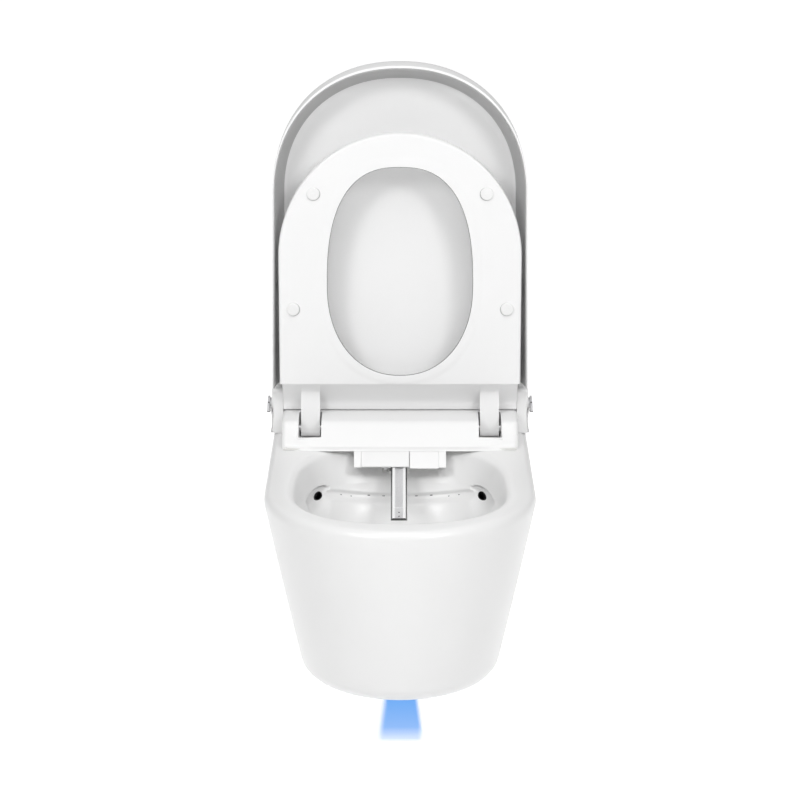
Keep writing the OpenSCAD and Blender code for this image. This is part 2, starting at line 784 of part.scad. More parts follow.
selector_at = [-70, -86];
selector_r = 16;
selector_h = 18;
hose_from = -44;

module flow_selector() {
  color(ivory) {
    translate([selector_at[0], selector_at[1], inner_z]) cylinder(h = selector_h, r = selector_r);
    translate([selector_at[0], selector_at[1], inner_z + selector_h - eps])
      cylinder(h = ceiling - inner_z - selector_h, r = selector_r - 7);
    block([selector_at[0] + selector_r - 2, selector_at[1] - 8, inner_z + 3],
      [hose_from, selector_at[1] + 6, inner_z + 13]);
  }
}

module spray_hose() {
  color(ivory) for (y = [selector_at[1] - 6, selector_at[1] + 4]) difference() {
    rod_x(hose_from + 0.5, hose_from + 8, [y, inner_z + 8], 3);
    rod_x(hose_from, hose_from + 9, [y, inner_z + 8], 2);
  }
}

fan_at = [72, -88.2];
fan_r = 26.5;
fan_h = ceiling - inner_z;
fan_reach = 30;
outlet_in = 14;

module blower_case() {
  color(black) difference() {
    union() {
      translate([fan_at[0], fan_at[1], inner_z]) cylinder(h = fan_h - 3, r = fan_r);
      block([fan_at[0] - outlet_in - 28, fan_at[1] - fan_reach, inner_z],
        [fan_at[0] - outlet_in, fan_at[1], inner_z + fan_h - 3]);
    }
    translate([fan_at[0], fan_at[1], inner_z + 2]) cylinder(h = fan_h, r = fan_r - 2);
    block([fan_at[0] - outlet_in - 26, fan_at[1] - fan_reach - 1, inner_z + 2],
      [fan_at[0] - outlet_in - 2, fan_at[1], inner_z + fan_h - 5]);
  }
}

module blower_lid() {
  color(black) translate([fan_at[0], fan_at[1], inner_z + fan_h - 3 + eps]) difference() {
    cylinder(h = 2, r = fan_r);
    translate([0, 0, -1]) cylinder(h = 5, r = 12);
  }
}

module blower_impeller() {
  blades = 12;
  color(steel) translate([fan_at[0], fan_at[1], inner_z + 5]) difference() {
    union() {
      cylinder(h = 2, r = fan_r - 4);
      cylinder(h = 14, r = 6);
      for (i = [0:blades - 1]) rotate([0, 0, i * 360 / blades]) block([12, -0.8, 0], [fan_r - 4.5, 0.8, 14]);
    }
    translate([0, 0, -1]) cylinder(h = 12, r = 2 + run);
  }
}

module blower_motor() {
  color(steel) translate([fan_at[0], fan_at[1], inner_z + 2 + eps]) {
    cylinder(h = 2, r = 9);
    cylinder(h = 12, r = 2);
  }
}

duct_x = [seam_x + 5, flap_r - 5];
duct_wall = 2;
duct_back = fan_at[1] - fan_reach - gap;
duct_front = -slope_top;
duct_foot = -slope_foot + 21;

module dryer_duct() {
  foot = -slope_foot;
  w = duct_wall;
  color(ivory) difference() {
    along_x(duct_x[0], duct_x[1]) polygon([
      [duct_back, inner_z], [duct_back, ceiling - 3], [duct_front, ceiling - 3],
      [foot + 11, rim_z + 10], [foot + 4, rim_z + 1], [foot - 7, rim_z - 14], [foot, rim_z - 20],
      [foot + 12, rim_z - 6], [duct_foot, inner_z]]);
    along_x(duct_x[0] + w, duct_x[1] - w) polygon([
      [duct_back + 1.4, inner_z + w], [duct_back + 1.4, ceiling - 3 - w], [duct_front + 1, ceiling - 3 - w],
      [foot + 13, rim_z + 9], [foot + 6, rim_z], [foot - 7.5, rim_z - 17.5], [foot - 2, rim_z - 22],
      [foot + 12, rim_z - 3], [duct_foot, inner_z + w]]);
  }
}

heater_y = [duct_front + 15, duct_front + 27];

module dryer_heater() {
  w = duct_wall + run;
  color("darkorange") difference() {
    block([duct_x[0] + w, heater_y[0], inner_z + w], [duct_x[1] - w, heater_y[1], ceiling - 3 - w]);
    for (x = [duct_x[0] + 6:5:duct_x[1] - 6])
      block([x - 1.5, heater_y[0] - 10, inner_z + 5], [x + 1.5, heater_y[1] + 8, ceiling - 7]);
  }
}

filter_x = [104, 152];
filter_y = [-ear_y, -66];

module deodoriser() {
  middle = [(filter_x[0] + filter_x[1]) / 2, (filter_y[0] + filter_y[1]) / 2];
  color(ivory) difference() {
    block([filter_x[0], filter_y[0], inner_z], [filter_x[1], filter_y[1], ceiling - 2]);
    for (x = [filter_x[0] + 6:6:filter_x[1] - 6])
      block([x - 2, filter_y[0] - 10, inner_z + 4], [x + 2, filter_y[0] + 2, ceiling - 6]);
    translate([middle[0], middle[1], inner_z + 3]) cylinder(h = 12, r = 13);
  }
}

power_x = [10, 96];
board_x = [power_x[1] + 8, ear_x[0] - 4];
board_y = -40;
board_t = 1.6;

module control_board() {
  color("seagreen") block([board_x[0], board_y, inner_z + 3], [board_x[1], board_y + board_t, block_z - 8]);
  color(black) {
    block([board_x[0] + 8, board_y - 6, inner_z + 8], [board_x[0] + 28, board_y + eps, inner_z + 24]);
    block([board_x[1] - 36, board_y - 8, inner_z + 30], [board_x[1] - 8, board_y + eps, inner_z + 50]);
    for (x = [board_x[0] + 4, board_x[1] - 4])
      block([x - 3, board_y - 1, inner_z], [x + 3, board_y + board_t + 2, inner_z + 3 + eps]);
  }
}

module power_module() {
  color(black) difference() {
    block([power_x[0], block_in, inner_z], [power_x[1], rear_y, block_z - 12]);
    block([power_x[0] + 2, block_in - 1, inner_z + 6], [power_x[1] - 2, block_in + 6, block_z - 20]);
  }
}

// ---------- seat ----------

hole_mid = (hole_rear + hole_front) / 2 + 8;
seat_edge = 9;
seat_split = 8;
seat_nose = 186;
bar_end = 152;
bar_clear = 1.5;
bar_top = rim_z + 50;
bar_half = ear_x[0] - 2;
step_y = slope_foot + bar_clear / sin(slope_angle) + (foot_lip - seat_lift) / tan(slope_angle);
top_skin = 3;

module seat_hole(grow) {
  polygon(egg(hole_r + grow, hole_mid, hole_front - hole_mid + grow, hole_mid - hole_rear + grow, 2.15, 2.4));
}

module seat_ring(z, t, inset) {
  slab(z, t) polygon(nose_outline(seat_w / 2 - inset, step_y, seat_reach - inset, seat_nose - inset));
}

// The bar at the seat's rear, which climbs over the sloped front of the housing.
function bar_profile(i) = [
  [-step_y - 3, seat_z + i], [-step_y, seat_z + i],
  [-slope_top - bar_clear * tan(slope_angle / 2), front_z + bar_clear + i],
  [-bar_end, front_z + bar_clear + i], [-bar_end, bar_top - i - 4], [-bar_end - 6, bar_top - i],
  [-slope_top - 8, bar_top - i - 3], [-step_y - 3, seat_top_z - i]];

module seat_arms(grow) {
  both_sides() {
    along_x(arm_x[0] - grow, arm_x[1] + grow) polygon([
      [-pocket_y[1] + 2, front_z - 17], [seat_axis[0], seat_axis[1] - barrel_r],
      [seat_axis[0] + barrel_r * 0.7, seat_axis[1] + barrel_r * 0.7], [-bar_end + 3, front_z - 5.5],
      [-bar_end + 1.5, front_z + 4], [-slope_top - 4, front_z + 4]]);
    rod_x(arm_x[0] - grow, arm_x[1] + grow, seat_axis, barrel_r);
  }
}

module seat_base() {
  color(ivory) raised(seat_axis, seat_open) difference() {
    union() {
      seat_ring(seat_z, seat_split, 2);
      along_x(-bar_half, bar_half) polygon(bar_profile(0));
      seat_arms(0);
    }
    translate([0, 0, seat_z - 1]) linear_extrude(seat_t + 2) seat_hole(0);
    difference() {
      seat_ring(seat_z + 3, seat_t, 5);
      slab(seat_z, seat_t) seat_hole(3);
      block([-seat_w, -hole_rear - 4, seat_z], [seat_w, 0, seat_top_z + 60]);
    }
    rod_x(-seat_w, seat_w, seat_axis, shaft_r + run);
    both_sides() for (at = bumper_at) translate([at[0], at[1], seat_z - 1]) cylinder(h = 3, r = bumper_r + run);
  }
}

bumper_r = 9.5;
bumper_at = [[seat_w / 2 - 53, -seat_reach + 93], [seat_w / 2 - 23, -seat_reach + 269]];

module seat_bumpers() {
  color(ivory) raised(seat_axis, seat_open) both_sides() for (at = bumper_at)
    translate([at[0], at[1], rim_z + gap]) cylinder(h = seat_lift - gap + 2 - run, r = bumper_r);
}

module seat_top() {
  color(white) raised(seat_axis, seat_open) difference() {
    hull() {
      seat_ring(seat_z + seat_split + eps, slice_t, 0);
      seat_ring(seat_top_z - seat_edge - slice_t, slice_t, 0);
      seat_ring(seat_top_z - seat_edge * 0.3, slice_t, seat_edge * 0.29);
      seat_ring(seat_top_z - slice_t, slice_t, seat_edge);
    }
    translate([0, 0, seat_z]) linear_extrude(seat_t + 2) seat_hole(1);
    block([-seat_w, -hole_rear + 6, 0], [seat_w, 0, through]);
    difference() {
      seat_ring(seat_z + seat_split - 1, seat_t - seat_split - top_skin + 1, top_skin + 2);
      slab(seat_z, seat_t) seat_hole(top_skin + 1);
      block([-seat_w, -hole_rear + 3, seat_z], [seat_w, 0, seat_top_z + 60]);
    }
  }
}

module seat_heater() {
  color("darkorange") raised(seat_axis, seat_open) difference() {
    seat_ring(seat_top_z - top_skin - 1 - seat_gap, 1, top_skin + 8);
    translate([0, 0, seat_z]) linear_extrude(seat_t + 2) seat_hole(top_skin + 8);
    block([-seat_w, -hole_rear - 6, 0], [seat_w, 0, through]);
  }
}

damper_x = [62, 116];

module seat_shafts() {
  color(steel) raised(seat_axis, seat_open) both_sides() difference() {
    rod_x(damper_x[1] - 30, 158, seat_axis, shaft_r);
    block([damper_x[1] - 31, seat_axis[0] + 3.5, 0], [damper_x[1] - 14, 0, through]);
  }
}

module hinge_unit() {
  difference() {
    union() {
      rod_x(damper_x[0], damper_x[1], seat_axis, barrel_r - 1);
      block([damper_x[1] - 6, seat_axis[0] - 14, inner_z], [damper_x[1], seat_axis[0] + 14, seat_axis[1]]);
    }
    rod_x(damper_x[1] - 31, damper_x[1] + 1, seat_axis, shaft_r + run);
  }
}

module seat_damper() {
  color(black) mirror([1, 0, 0]) hinge_unit();
}

module seat_drive() {
  color(black) hinge_unit();
}

// ---------- lid ----------

lid_top_z = block_z - 2;
liner_z = lid_top_z - lid_t - lid_air - liner_t;
lid_nose = 193;
tongue_half = 178;
tongue_y = 64;
tongue_t = 8;

module lid_plate(z, inset, rear) {
  slab(z, slice_t) polygon(nose_outline(lid_w / 2 - inset, rear, lid_reach - inset, lid_nose - inset));
}

// Outer form of the lid, or its space when given a wall.
module lid_form(wall, rear) {
  low = wall > 0 ? lid_rim_z - 1 : lid_rim_z;
  hull() {
    lid_plate(low, wall, rear);
    lid_plate(lid_top_z - lid_round, wall, rear);
    lid_plate(lid_top_z - lid_round * 0.3 - wall, wall + lid_round * 0.29, rear);
    lid_plate(lid_top_z - slice_t - wall, wall + lid_round * 0.8, rear);
  }
}

module lid_shell() {
  color(white) raised(lid_axis, lid_open) difference() {
    union() {
      lid_form(0, skirt_y);
      block([-tongue_half, -skirt_y - 2, lid_top_z - tongue_t], [tongue_half, -tongue_y, lid_top_z - 0.3]);
      both_sides() rod_x(tongue_half - 24, tongue_half, lid_axis, 7);
    }
    difference() {
      lid_form(lid_t, skirt_y - 1);
      block([-lid_w, -skirt_y, 0], [lid_w, 0, through]);
    }
    rod_x(-lid_w, lid_w, lid_axis, lid_pin_r + run);
  }
}

liner_in = 3;

module lid_liner() {
  color(ivory) raised(lid_axis, lid_open) difference() {
    hull() {
      lid_plate(liner_z - 26, lid_t + gap, skirt_y + 1);
      lid_plate(liner_z - 12, lid_t + gap + liner_in, skirt_y + 1);
      lid_plate(liner_z + liner_t - slice_t, lid_t + lid_round * 0.7, skirt_y + 1);
    }
    hull() {
      lid_plate(liner_z - 27, lid_t + gap + liner_t, skirt_y - 1);
      lid_plate(liner_z - 13, lid_t + gap + liner_t + liner_in, skirt_y - 1);
      lid_plate(liner_z - slice_t, lid_t + liner_t + lid_round * 0.8, skirt_y - 1);
    }
  }
}

pad_at = [[138, -400], [150, -250]];

module lid_bumpers() {
  color(ivory) raised(lid_axis, lid_open) both_sides() for (at = pad_at)
    translate([at[0], at[1], seat_top_z + gap]) cylinder(h = liner_z - seat_top_z - 2 * gap, r = 7);
}

module lid_pins() {
  color(steel) raised(lid_axis, lid_open)
    both_sides() rod_x(tongue_half - 20, ear_x[1] - shell - 4, lid_axis, lid_pin_r);
}

module ear_unit() {
  difference() {
    union() {
      rod_x(ear_x[0] + shell + gap, ear_x[1] - shell - gap, lid_axis, 8);
      block([ear_x[0] + shell + gap, lid_axis[0] - 6, front_z + 4], [ear_x[1] - shell - gap, lid_axis[0] + 22,
        lid_axis[1]]);
    }
    rod_x(ear_x[0], ear_x[1] - shell - 3, lid_axis, lid_pin_r + run);
    rod_x(ear_x[0], ear_x[1], [-knob_y, rim_z + knob_h], knob_r + 1);
  }
}

module lid_damper() {
  color(black) mirror([1, 0, 0]) ear_unit();
}

module lid_drive() {
  color(black) ear_unit();
}

// ---------- side knobs ----------

knob_axis = [-knob_y, rim_z + knob_h];
spindle_r = 3;
stem_r = knob_r - 3.6;

module knob_bezels() {
  color(steel) both_sides() difference() {
    rod_x(ear_x[1] + 0.02, ear_x[1] + 1.5, knob_axis, knob_r);
    rod_x(ear_x[1] - 1, ear_x[1] + 2, knob_axis, knob_r - 3);
  }
}

module knob_encoders() {
  color(black) both_sides() difference() {
    rod_x(ear_x[0] + shell + gap, ear_x[1] - shell - gap - 2, knob_axis, knob_r - 2);
    rod_x(ear_x[0] + shell + 2, ear_x[1], knob_axis, spindle_r + run);
  }
}

module knob_spindle() {
  rod_x(ear_x[0] + shell + 3, ear_x[1] + 1, knob_axis, spindle_r);
}

module knob_cap() {
  face = ear_x[1] + 1.5 + knob_push + gap;
  difference() {
    union() {
      translate([face, knob_axis[0], knob_axis[1]]) rotate([0, 90, 0])
        cylinder(h = knob_out - knob_push - 2, r1 = knob_r, r2 = knob_r - 1);
      translate([ear_x[1] + 1 - 3, knob_axis[0], knob_axis[1]]) rotate([0, 90, 0])
        cylinder(h = face - ear_x[1] + 2.5, r = stem_r);
    }
    rod_x(ear_x[1] - 4, ear_x[1] + 1 + knob_push + gap, knob_axis, spindle_r + run);
    rod_x(face - 1 + 3, face + 20, knob_axis + [0, knob_r - 5], 1.2);
  }
}

module knob_spindle_right() {
  color(steel) knob_spindle();
}

module knob_cap_right() {
  color(steel) knob_cap();
}

module knob_spindle_left() {
  color(steel) mirror([1, 0, 0]) knob_spindle();
}

module knob_cap_left() {
  color(steel) mirror([1, 0, 0]) knob_cap();
}

ceramic_bowl();
wall_pad();
stud_bushes();
flush_seal();
water_inlet();
feed_tube();
power_gland();
foot_lamp_body();
foot_lamp_lens();
housing_base();
deck_bolts();
housing_cover();
cover_screws();
port_frame();
flap_pin();
nozzle_flap();
dryer_flap();
wand_guide();
nozzle_wand();
nozzle_head();
screw_nut();
drive_screw();
screw_motor();
heater_tank();
heater_cover();
inlet_valve();
water_pump();
flow_selector();
spray_hose();
blower_case();
blower_lid();
blower_impeller();
blower_motor();
dryer_duct();
dryer_heater();
deodoriser();
control_board();
power_module();
seat_base();
seat_top();
seat_heater();
seat_bumpers();
seat_shafts();
seat_damper();
seat_drive();
lid_shell();
lid_liner();
lid_bumpers();
lid_pins();
lid_damper();
lid_drive();
knob_bezels();
knob_encoders();
knob_spindle_right();
knob_cap_right();
knob_spindle_left();
knob_cap_left();
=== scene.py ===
"""Wall-hung toilet with an electric bidet seat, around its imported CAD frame."""
import json
from math import atan2, cos, degrees, hypot, pi, radians, sin

import bmesh
import bpy
from mathutils import Matrix, Vector

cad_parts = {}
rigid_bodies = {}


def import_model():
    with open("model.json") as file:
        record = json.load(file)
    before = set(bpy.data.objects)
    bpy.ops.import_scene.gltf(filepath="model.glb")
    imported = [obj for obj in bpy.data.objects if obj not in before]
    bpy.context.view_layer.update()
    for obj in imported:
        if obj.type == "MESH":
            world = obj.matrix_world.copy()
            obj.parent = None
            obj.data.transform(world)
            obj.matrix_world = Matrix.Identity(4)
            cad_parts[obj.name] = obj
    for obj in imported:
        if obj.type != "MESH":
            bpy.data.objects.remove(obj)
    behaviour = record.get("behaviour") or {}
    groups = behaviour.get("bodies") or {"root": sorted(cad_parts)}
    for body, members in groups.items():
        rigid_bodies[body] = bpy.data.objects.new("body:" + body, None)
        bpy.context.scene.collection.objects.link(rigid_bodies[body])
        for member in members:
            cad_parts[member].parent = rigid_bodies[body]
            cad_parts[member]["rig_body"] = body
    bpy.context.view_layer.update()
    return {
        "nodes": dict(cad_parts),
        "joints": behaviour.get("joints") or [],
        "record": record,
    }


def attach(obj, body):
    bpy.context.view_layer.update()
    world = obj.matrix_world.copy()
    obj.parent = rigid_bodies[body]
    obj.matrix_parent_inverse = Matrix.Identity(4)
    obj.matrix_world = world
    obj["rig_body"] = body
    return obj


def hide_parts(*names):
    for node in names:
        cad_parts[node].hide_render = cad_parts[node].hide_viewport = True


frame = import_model()
nodes = frame["nodes"]
joints = {j["name"]: j for j in frame["joints"]}
scene = bpy.context.scene

# All sizes below are millimetres, in the CAD frame, unless a name says otherwise.
MM = 0.001

BOWL = "bowl_and_housing"
SIDES = ((-1, "left"), (1, "right"))


def mm(vector):
    return Vector(vector) / MM


def linked(name, data):
    """A new object in the scene."""
    obj = bpy.data.objects.new(name, data)
    scene.collection.objects.link(obj)
    return obj


# ---------- camera, lamps, floor ----------

CAMERA_PLACE = (0.0, -4087.9, 1232.6)
CAMERA_TILT = 15.42
FOCAL_PX = 2707.7
FRAME_PX = 800.0
SENSOR_MM = 36.0

camera = linked("camera", bpy.data.cameras.new("camera"))
camera.location = Vector(CAMERA_PLACE) * MM
camera.rotation_euler = (radians(90 - CAMERA_TILT), 0, 0)
camera.data.sensor_width = SENSOR_MM
camera.data.lens = SENSOR_MM * FOCAL_PX / FRAME_PX
camera.data.clip_end = 50
scene.camera = camera
scene.view_settings.view_transform = "Standard"


def area_lamp(name, place, aim, size, watts):
    """A square lamp, with its place, aim and size in metres."""
    data = bpy.data.lights.new(name, "AREA")
    data.energy = watts
    data.size = size
    lamp = linked(name, data)
    lamp.location = place
    lamp.rotation_euler = (Vector(aim) - Vector(place)).to_track_quat("-Z", "Y").to_euler()


KEY_AIM, TOP_AIM = (0, -0.3, 0.3), (0, -0.35, 0.1)
area_lamp("key_left", (-1.45, -2.6, 2.05), KEY_AIM, 0.8, 26)
area_lamp("key_right", (1.45, -2.6, 2.05), KEY_AIM, 0.8, 26)
area_lamp("lamp_top", (0.0, -0.75, 3.2), TOP_AIM, 1.6, 10)
area_lamp("lamp_top_front", (0.0, -1.9, 3.0), TOP_AIM, 1.6, 18)


# ---------- materials ----------

def principled(name):
    mat = bpy.data.materials.new(name)
    mat.use_nodes = True
    return mat, mat.node_tree.nodes, mat.node_tree.links, mat.node_tree.nodes["Principled BSDF"]


def mottled(name, dark, light, roughness, scale, bump, coat=0.0, metallic=0.0, spread=0.04,
            stretch=(1, 1, 1), specular=0.5, coat_roughness=0.05):
    """A surface with a little variation in colour, roughness and relief."""
    mat, tree, links, shader = principled(name)
    shader.inputs["Metallic"].default_value = metallic
    shader.inputs["Coat Weight"].default_value = coat
    shader.inputs["Coat Roughness"].default_value = coat_roughness
    shader.inputs["Specular IOR Level"].default_value = specular
    place = tree.new("ShaderNodeTexCoord")
    mapping = tree.new("ShaderNodeMapping")
    mapping.inputs["Scale"].default_value = stretch
    noise = tree.new("ShaderNodeTexNoise")
    noise.inputs["Scale"].default_value = scale
    noise.inputs["Detail"].default_value = 4
    ramp = tree.new("ShaderNodeValToRGB")
    ramp.color_ramp.elements[0].position = 0.35
    ramp.color_ramp.elements[1].position = 0.65
    ramp.color_ramp.elements[0].color = (*dark, 1)
    ramp.color_ramp.elements[1].color = (*light, 1)
    rough = tree.new("ShaderNodeMapRange")
    rough.inputs["To Min"].default_value = max(roughness - spread, 0.02)
    rough.inputs["To Max"].default_value = roughness + spread
    relief = tree.new("ShaderNodeBump")
    relief.inputs["Strength"].default_value = bump
    relief.inputs["Distance"].default_value = 0.0004
    links.new(place.outputs["Object"], mapping.inputs["Vector"])
    links.new(mapping.outputs["Vector"], noise.inputs["Vector"])
    links.new(noise.outputs["Fac"], ramp.inputs["Fac"])
    links.new(noise.outputs["Fac"], rough.inputs["Value"])
    links.new(noise.outputs["Fac"], relief.inputs["Height"])
    links.new(ramp.outputs["Color"], shader.inputs["Base Color"])
    links.new(rough.outputs["Result"], shader.inputs["Roughness"])
    links.new(relief.outputs["Normal"], shader.inputs["Normal"])
    return mat


GLAZE = mottled("glaze", (0.79, 0.79, 0.788), (0.80, 0.80, 0.798), 0.34, 9, 0.01, coat=0.3,
                coat_roughness=0.28)
HOUSING = mottled("housing_plastic", (0.822, 0.822, 0.82), (0.83, 0.83, 0.829), 0.4, 900, 0.01, coat=0.1)
LID = mottled("lid_plastic", (0.852, 0.852, 0.852), (0.86, 0.86, 0.86), 0.32, 900, 0.01, coat=0.15)
SEAT = mottled("seat_plastic", (0.842, 0.842, 0.842), (0.85, 0.85, 0.85), 0.32, 900, 0.01, coat=0.15)
INNER = mottled("inner_plastic", (0.70, 0.70, 0.68), (0.75, 0.75, 0.73), 0.5, 120, 0.06)
# painted shade: a grey for the lid's inner wall and for the rings at the seat pads' feet
SHADE_GREY = mottled("painted_shade_grey", (0.44, 0.44, 0.44), (0.46, 0.46, 0.46), 0.45, 700, 0.02)
# painted shade for the line along the seat hole's lower edge
HOLE_EDGE_SHADE = mottled("hole_edge_painted_shade", (0.20, 0.20, 0.20), (0.24, 0.24, 0.24), 0.6, 700, 0.02)
# painted highlight and shade for the wand: a dark grey for its rounded edges and tip, a pale grey for the
# strips beside its middle
WAND_SHADE = mottled("wand_painted_shade", (0.10, 0.10, 0.10), (0.13, 0.13, 0.13), 0.3, 70, 0.03, metallic=0.6,
                    stretch=(14, 1, 14))
WAND_HIGHLIGHT = mottled("wand_painted_highlight", (0.82, 0.82, 0.82), (0.86, 0.86, 0.86), 0.3, 70, 0.03, stretch=(14, 1, 14))
NYLON = mottled("nylon", (0.74, 0.74, 0.70), (0.80, 0.80, 0.76), 0.45, 220, 0.08)
BLACK = mottled("black_plastic", (0.018, 0.018, 0.02), (0.035, 0.035, 0.037), 0.5, 160, 0.1)
BUMPER = mottled("bumper_rubber", (0.80, 0.80, 0.797), (0.82, 0.82, 0.817), 0.5, 700, 0.03)
RUBBER = mottled("black_rubber", (0.012, 0.012, 0.012), (0.024, 0.024, 0.024), 0.75, 260, 0.15)
FOAM = mottled("wall_foam", (0.62, 0.62, 0.61), (0.72, 0.72, 0.71), 0.9, 420, 0.5)
STEEL = mottled("brushed_steel", (0.50, 0.50, 0.51), (0.62, 0.62, 0.63), 0.28, 60, 0.08, metallic=1.0,
                stretch=(1, 1, 18))
WAND_STEEL = mottled("wand_steel", (0.70, 0.70, 0.71), (0.76, 0.76, 0.77), 0.36, 70, 0.05, metallic=0.9,
                     stretch=(14, 1, 14))
MOTOR = mottled("motor_metal", (0.20, 0.21, 0.22), (0.30, 0.31, 0.33), 0.42, 80, 0.06, metallic=0.7)
CHROME = mottled("chrome", (0.74, 0.74, 0.75), (0.80, 0.80, 0.81), 0.06, 30, 0.01, metallic=1.0, spread=0.02)
BRASS = mottled("brass", (0.60, 0.44, 0.20), (0.72, 0.56, 0.28), 0.25, 60, 0.05, metallic=1.0)
FOIL = mottled("heater_foil", (0.72, 0.50, 0.24), (0.84, 0.62, 0.34), 0.4, 90, 0.1, metallic=0.6)
CIRCUIT = mottled("circuit", (0.02, 0.16, 0.07), (0.04, 0.26, 0.11), 0.4, 500, 0.2)
LENS = mottled("lamp_lens", (0.50, 0.68, 0.92), (0.60, 0.78, 0.98), 0.15, 90, 0.02, coat=0.6)
# painted shade: the screw nut under the flaps gets a mid grey that stands for the shade there, not its own
# nylon colour
NUT_SHADE = mottled("nut_painted_shade", (0.36, 0.36, 0.35), (0.40, 0.40, 0.39), 0.5, 220, 0.08)
TRIM = mottled("trim_plastic", (0.60, 0.60, 0.60), (0.64, 0.64, 0.64), 0.4, 700, 0.02)
SATIN = mottled("satin_chrome", (0.62, 0.62, 0.63), (0.68, 0.68, 0.69), 0.42, 300, 0.03, metallic=0.35)

SLOT_MATERIAL = {
    "ceramic": GLAZE, "housing_white": HOUSING, "lid_white": LID, "seat_white": SEAT, "base_plastic": INNER,
    "nylon": NYLON, "black_plastic": BLACK, "bumper": BUMPER, "rubber": RUBBER, "pad_foam": FOAM,
    "steel": STEEL, "wand_steel": WAND_STEEL, "motor_metal": MOTOR, "chrome": CHROME, "brass": BRASS,
    "heater_foil": FOIL, "circuit": CIRCUIT, "lens": LENS}

for part in frame["record"]["subparts"]:
    mesh = nodes[part["node"]].data
    mesh.materials.clear()
    # the screw nut takes the painted-shade grey instead of its slot's colour
    mesh.materials.append(NUT_SHADE if part["node"] == "screw_nut" else SLOT_MATERIAL[part["material_slot"]])


# ---------- mesh tools ----------

WELD = 0.01
SHARP = 30


def clean_mesh(name, verts, faces):
    """A welded mesh with its faces turned outwards."""
    mesh = bpy.data.meshes.new(name)
    mesh.from_pydata([Vector(v) * MM for v in verts], [], faces)
    bm = bmesh.new()
    bm.from_mesh(mesh)
    bmesh.ops.remove_doubles(bm, verts=bm.verts, dist=WELD * MM)
    bmesh.ops.recalc_face_normals(bm, faces=bm.faces)
    bm.to_mesh(mesh)
    bm.free()
    return mesh


def add_mesh(name, verts, faces, material, body, slot, smooth=35):
    """A new piece of the visual model; edges sharper than smooth degrees stay crisp."""
    obj = linked(name, clean_mesh(name, verts, faces))
    finish_mesh(obj, material, smooth)
    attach(obj, body)
    return obj


def finish_mesh(obj, material, smooth=35):
    obj.data.materials.clear()
    obj.data.materials.append(material)
    for face in obj.data.polygons:
        face.use_smooth = True
    obj.data.set_sharp_from_angle(angle=radians(smooth))


def apply_modifiers(obj):
    depsgraph = bpy.context.evaluated_depsgraph_get()
    mesh = bpy.data.meshes.new_from_object(obj.evaluated_get(depsgraph), depsgraph=depsgraph)
    old = obj.data
    obj.modifiers.clear()
    obj.data = mesh
    bpy.data.meshes.remove(old)


def loft(rings, closed=True):
    """Quads between rings of equally many points. Rings may be open lines."""
    n = len(rings[0])
    verts = [p for ring in rings for p in ring]
    faces = []
    for r in range(len(rings) - 1):
        for i in range(n if closed else n - 1):
            a, b = r * n + i, r * n + (i + 1) % n
            faces.append((a, b, b + n, a + n))
    return verts, faces


def double_wall(outer, inner):
    """An outer and an inner shell with open edges, and the index of the inner's first point."""
    verts, faces = loft(outer, closed=False)
    more, inside = loft(inner, closed=False)
    base = len(verts)
    faces += [tuple(base + i for i in reversed(f)) for f in inside]
    return verts + more, faces, base


def turned(profile, steps=64):
    """A solid of revolution about Z from (radius, height) points that start and end on the axis."""
    rings = [[(r * cos(2 * pi * i / steps), r * sin(2 * pi * i / steps), z) for i in range(steps)]
             for r, z in profile]
    return loft(rings)


def moved(verts, matrix):
    return [matrix @ Vector(v) for v in verts]


def mark_sharp(bm, shortest=0.0):
    """Gives a bevel weight to each sharp edge that is at least a length."""
    weight = bm.edges.layers.float.new("bevel_weight_edge")
    for edge in bm.edges:
        if edge.calc_length() / MM >= shortest and degrees(edge.calc_face_angle(0)) > SHARP:
            edge[weight] = 1.0


def round_marked(obj, width):
    bevel = obj.modifiers.new("round", "BEVEL")
    bevel.limit_method = "WEIGHT"
    bevel.width = width * MM
    bevel.segments = 3
    apply_modifiers(obj)


def rounded_copy(node, name, width, shortest, bend=None):
    """A copy of a CAD node with its long sharp edges rounded, which stands for the node."""
    source = nodes[node]
    bm = bmesh.new()
    bm.from_mesh(source.data)
    bmesh.ops.remove_doubles(bm, verts=bm.verts, dist=2 * WELD * MM)
    bmesh.ops.dissolve_limit(bm, angle_limit=radians(1), verts=bm.verts, edges=bm.edges)
    if bend:
        bend(bm)
    mark_sharp(bm, shortest)
    mesh = bpy.data.meshes.new(name)
    bm.to_mesh(mesh)
    bm.free()
    obj = linked(name, mesh)
    round_marked(obj, width)
    part = next(p for p in frame["record"]["subparts"] if p["node"] == node)
    finish_mesh(obj, SLOT_MATERIAL[part["material_slot"]])
    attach(obj, source["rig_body"])
    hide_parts(node)
    return obj


# ---------- floor and world ----------

FLOOR_Z = -320.0
FLOOR_LIFT = 0.6
WORLD_LIGHT = 0.49
# The foot lamp's blue light: heights and half widths of its two ends.
BEAM_TOP, BEAM_LOW, BEAM_TOP_HALF, BEAM_LOW_HALF = -187.0, -271.0, 27, 39
LAMP_Y = -480.0


def any_ray(tree, links, *kinds):
    """A socket that is 1 for rays of any of the given kinds."""
    path = tree.new("ShaderNodeLightPath")
    socket = path.outputs[kinds[0]]
    for kind in kinds[1:]:
        larger = tree.new("ShaderNodeMath")
        larger.operation = "MAXIMUM"
        links.new(socket, larger.inputs[0])
        links.new(path.outputs[kind], larger.inputs[1])
        socket = larger.outputs[0]
    return socket


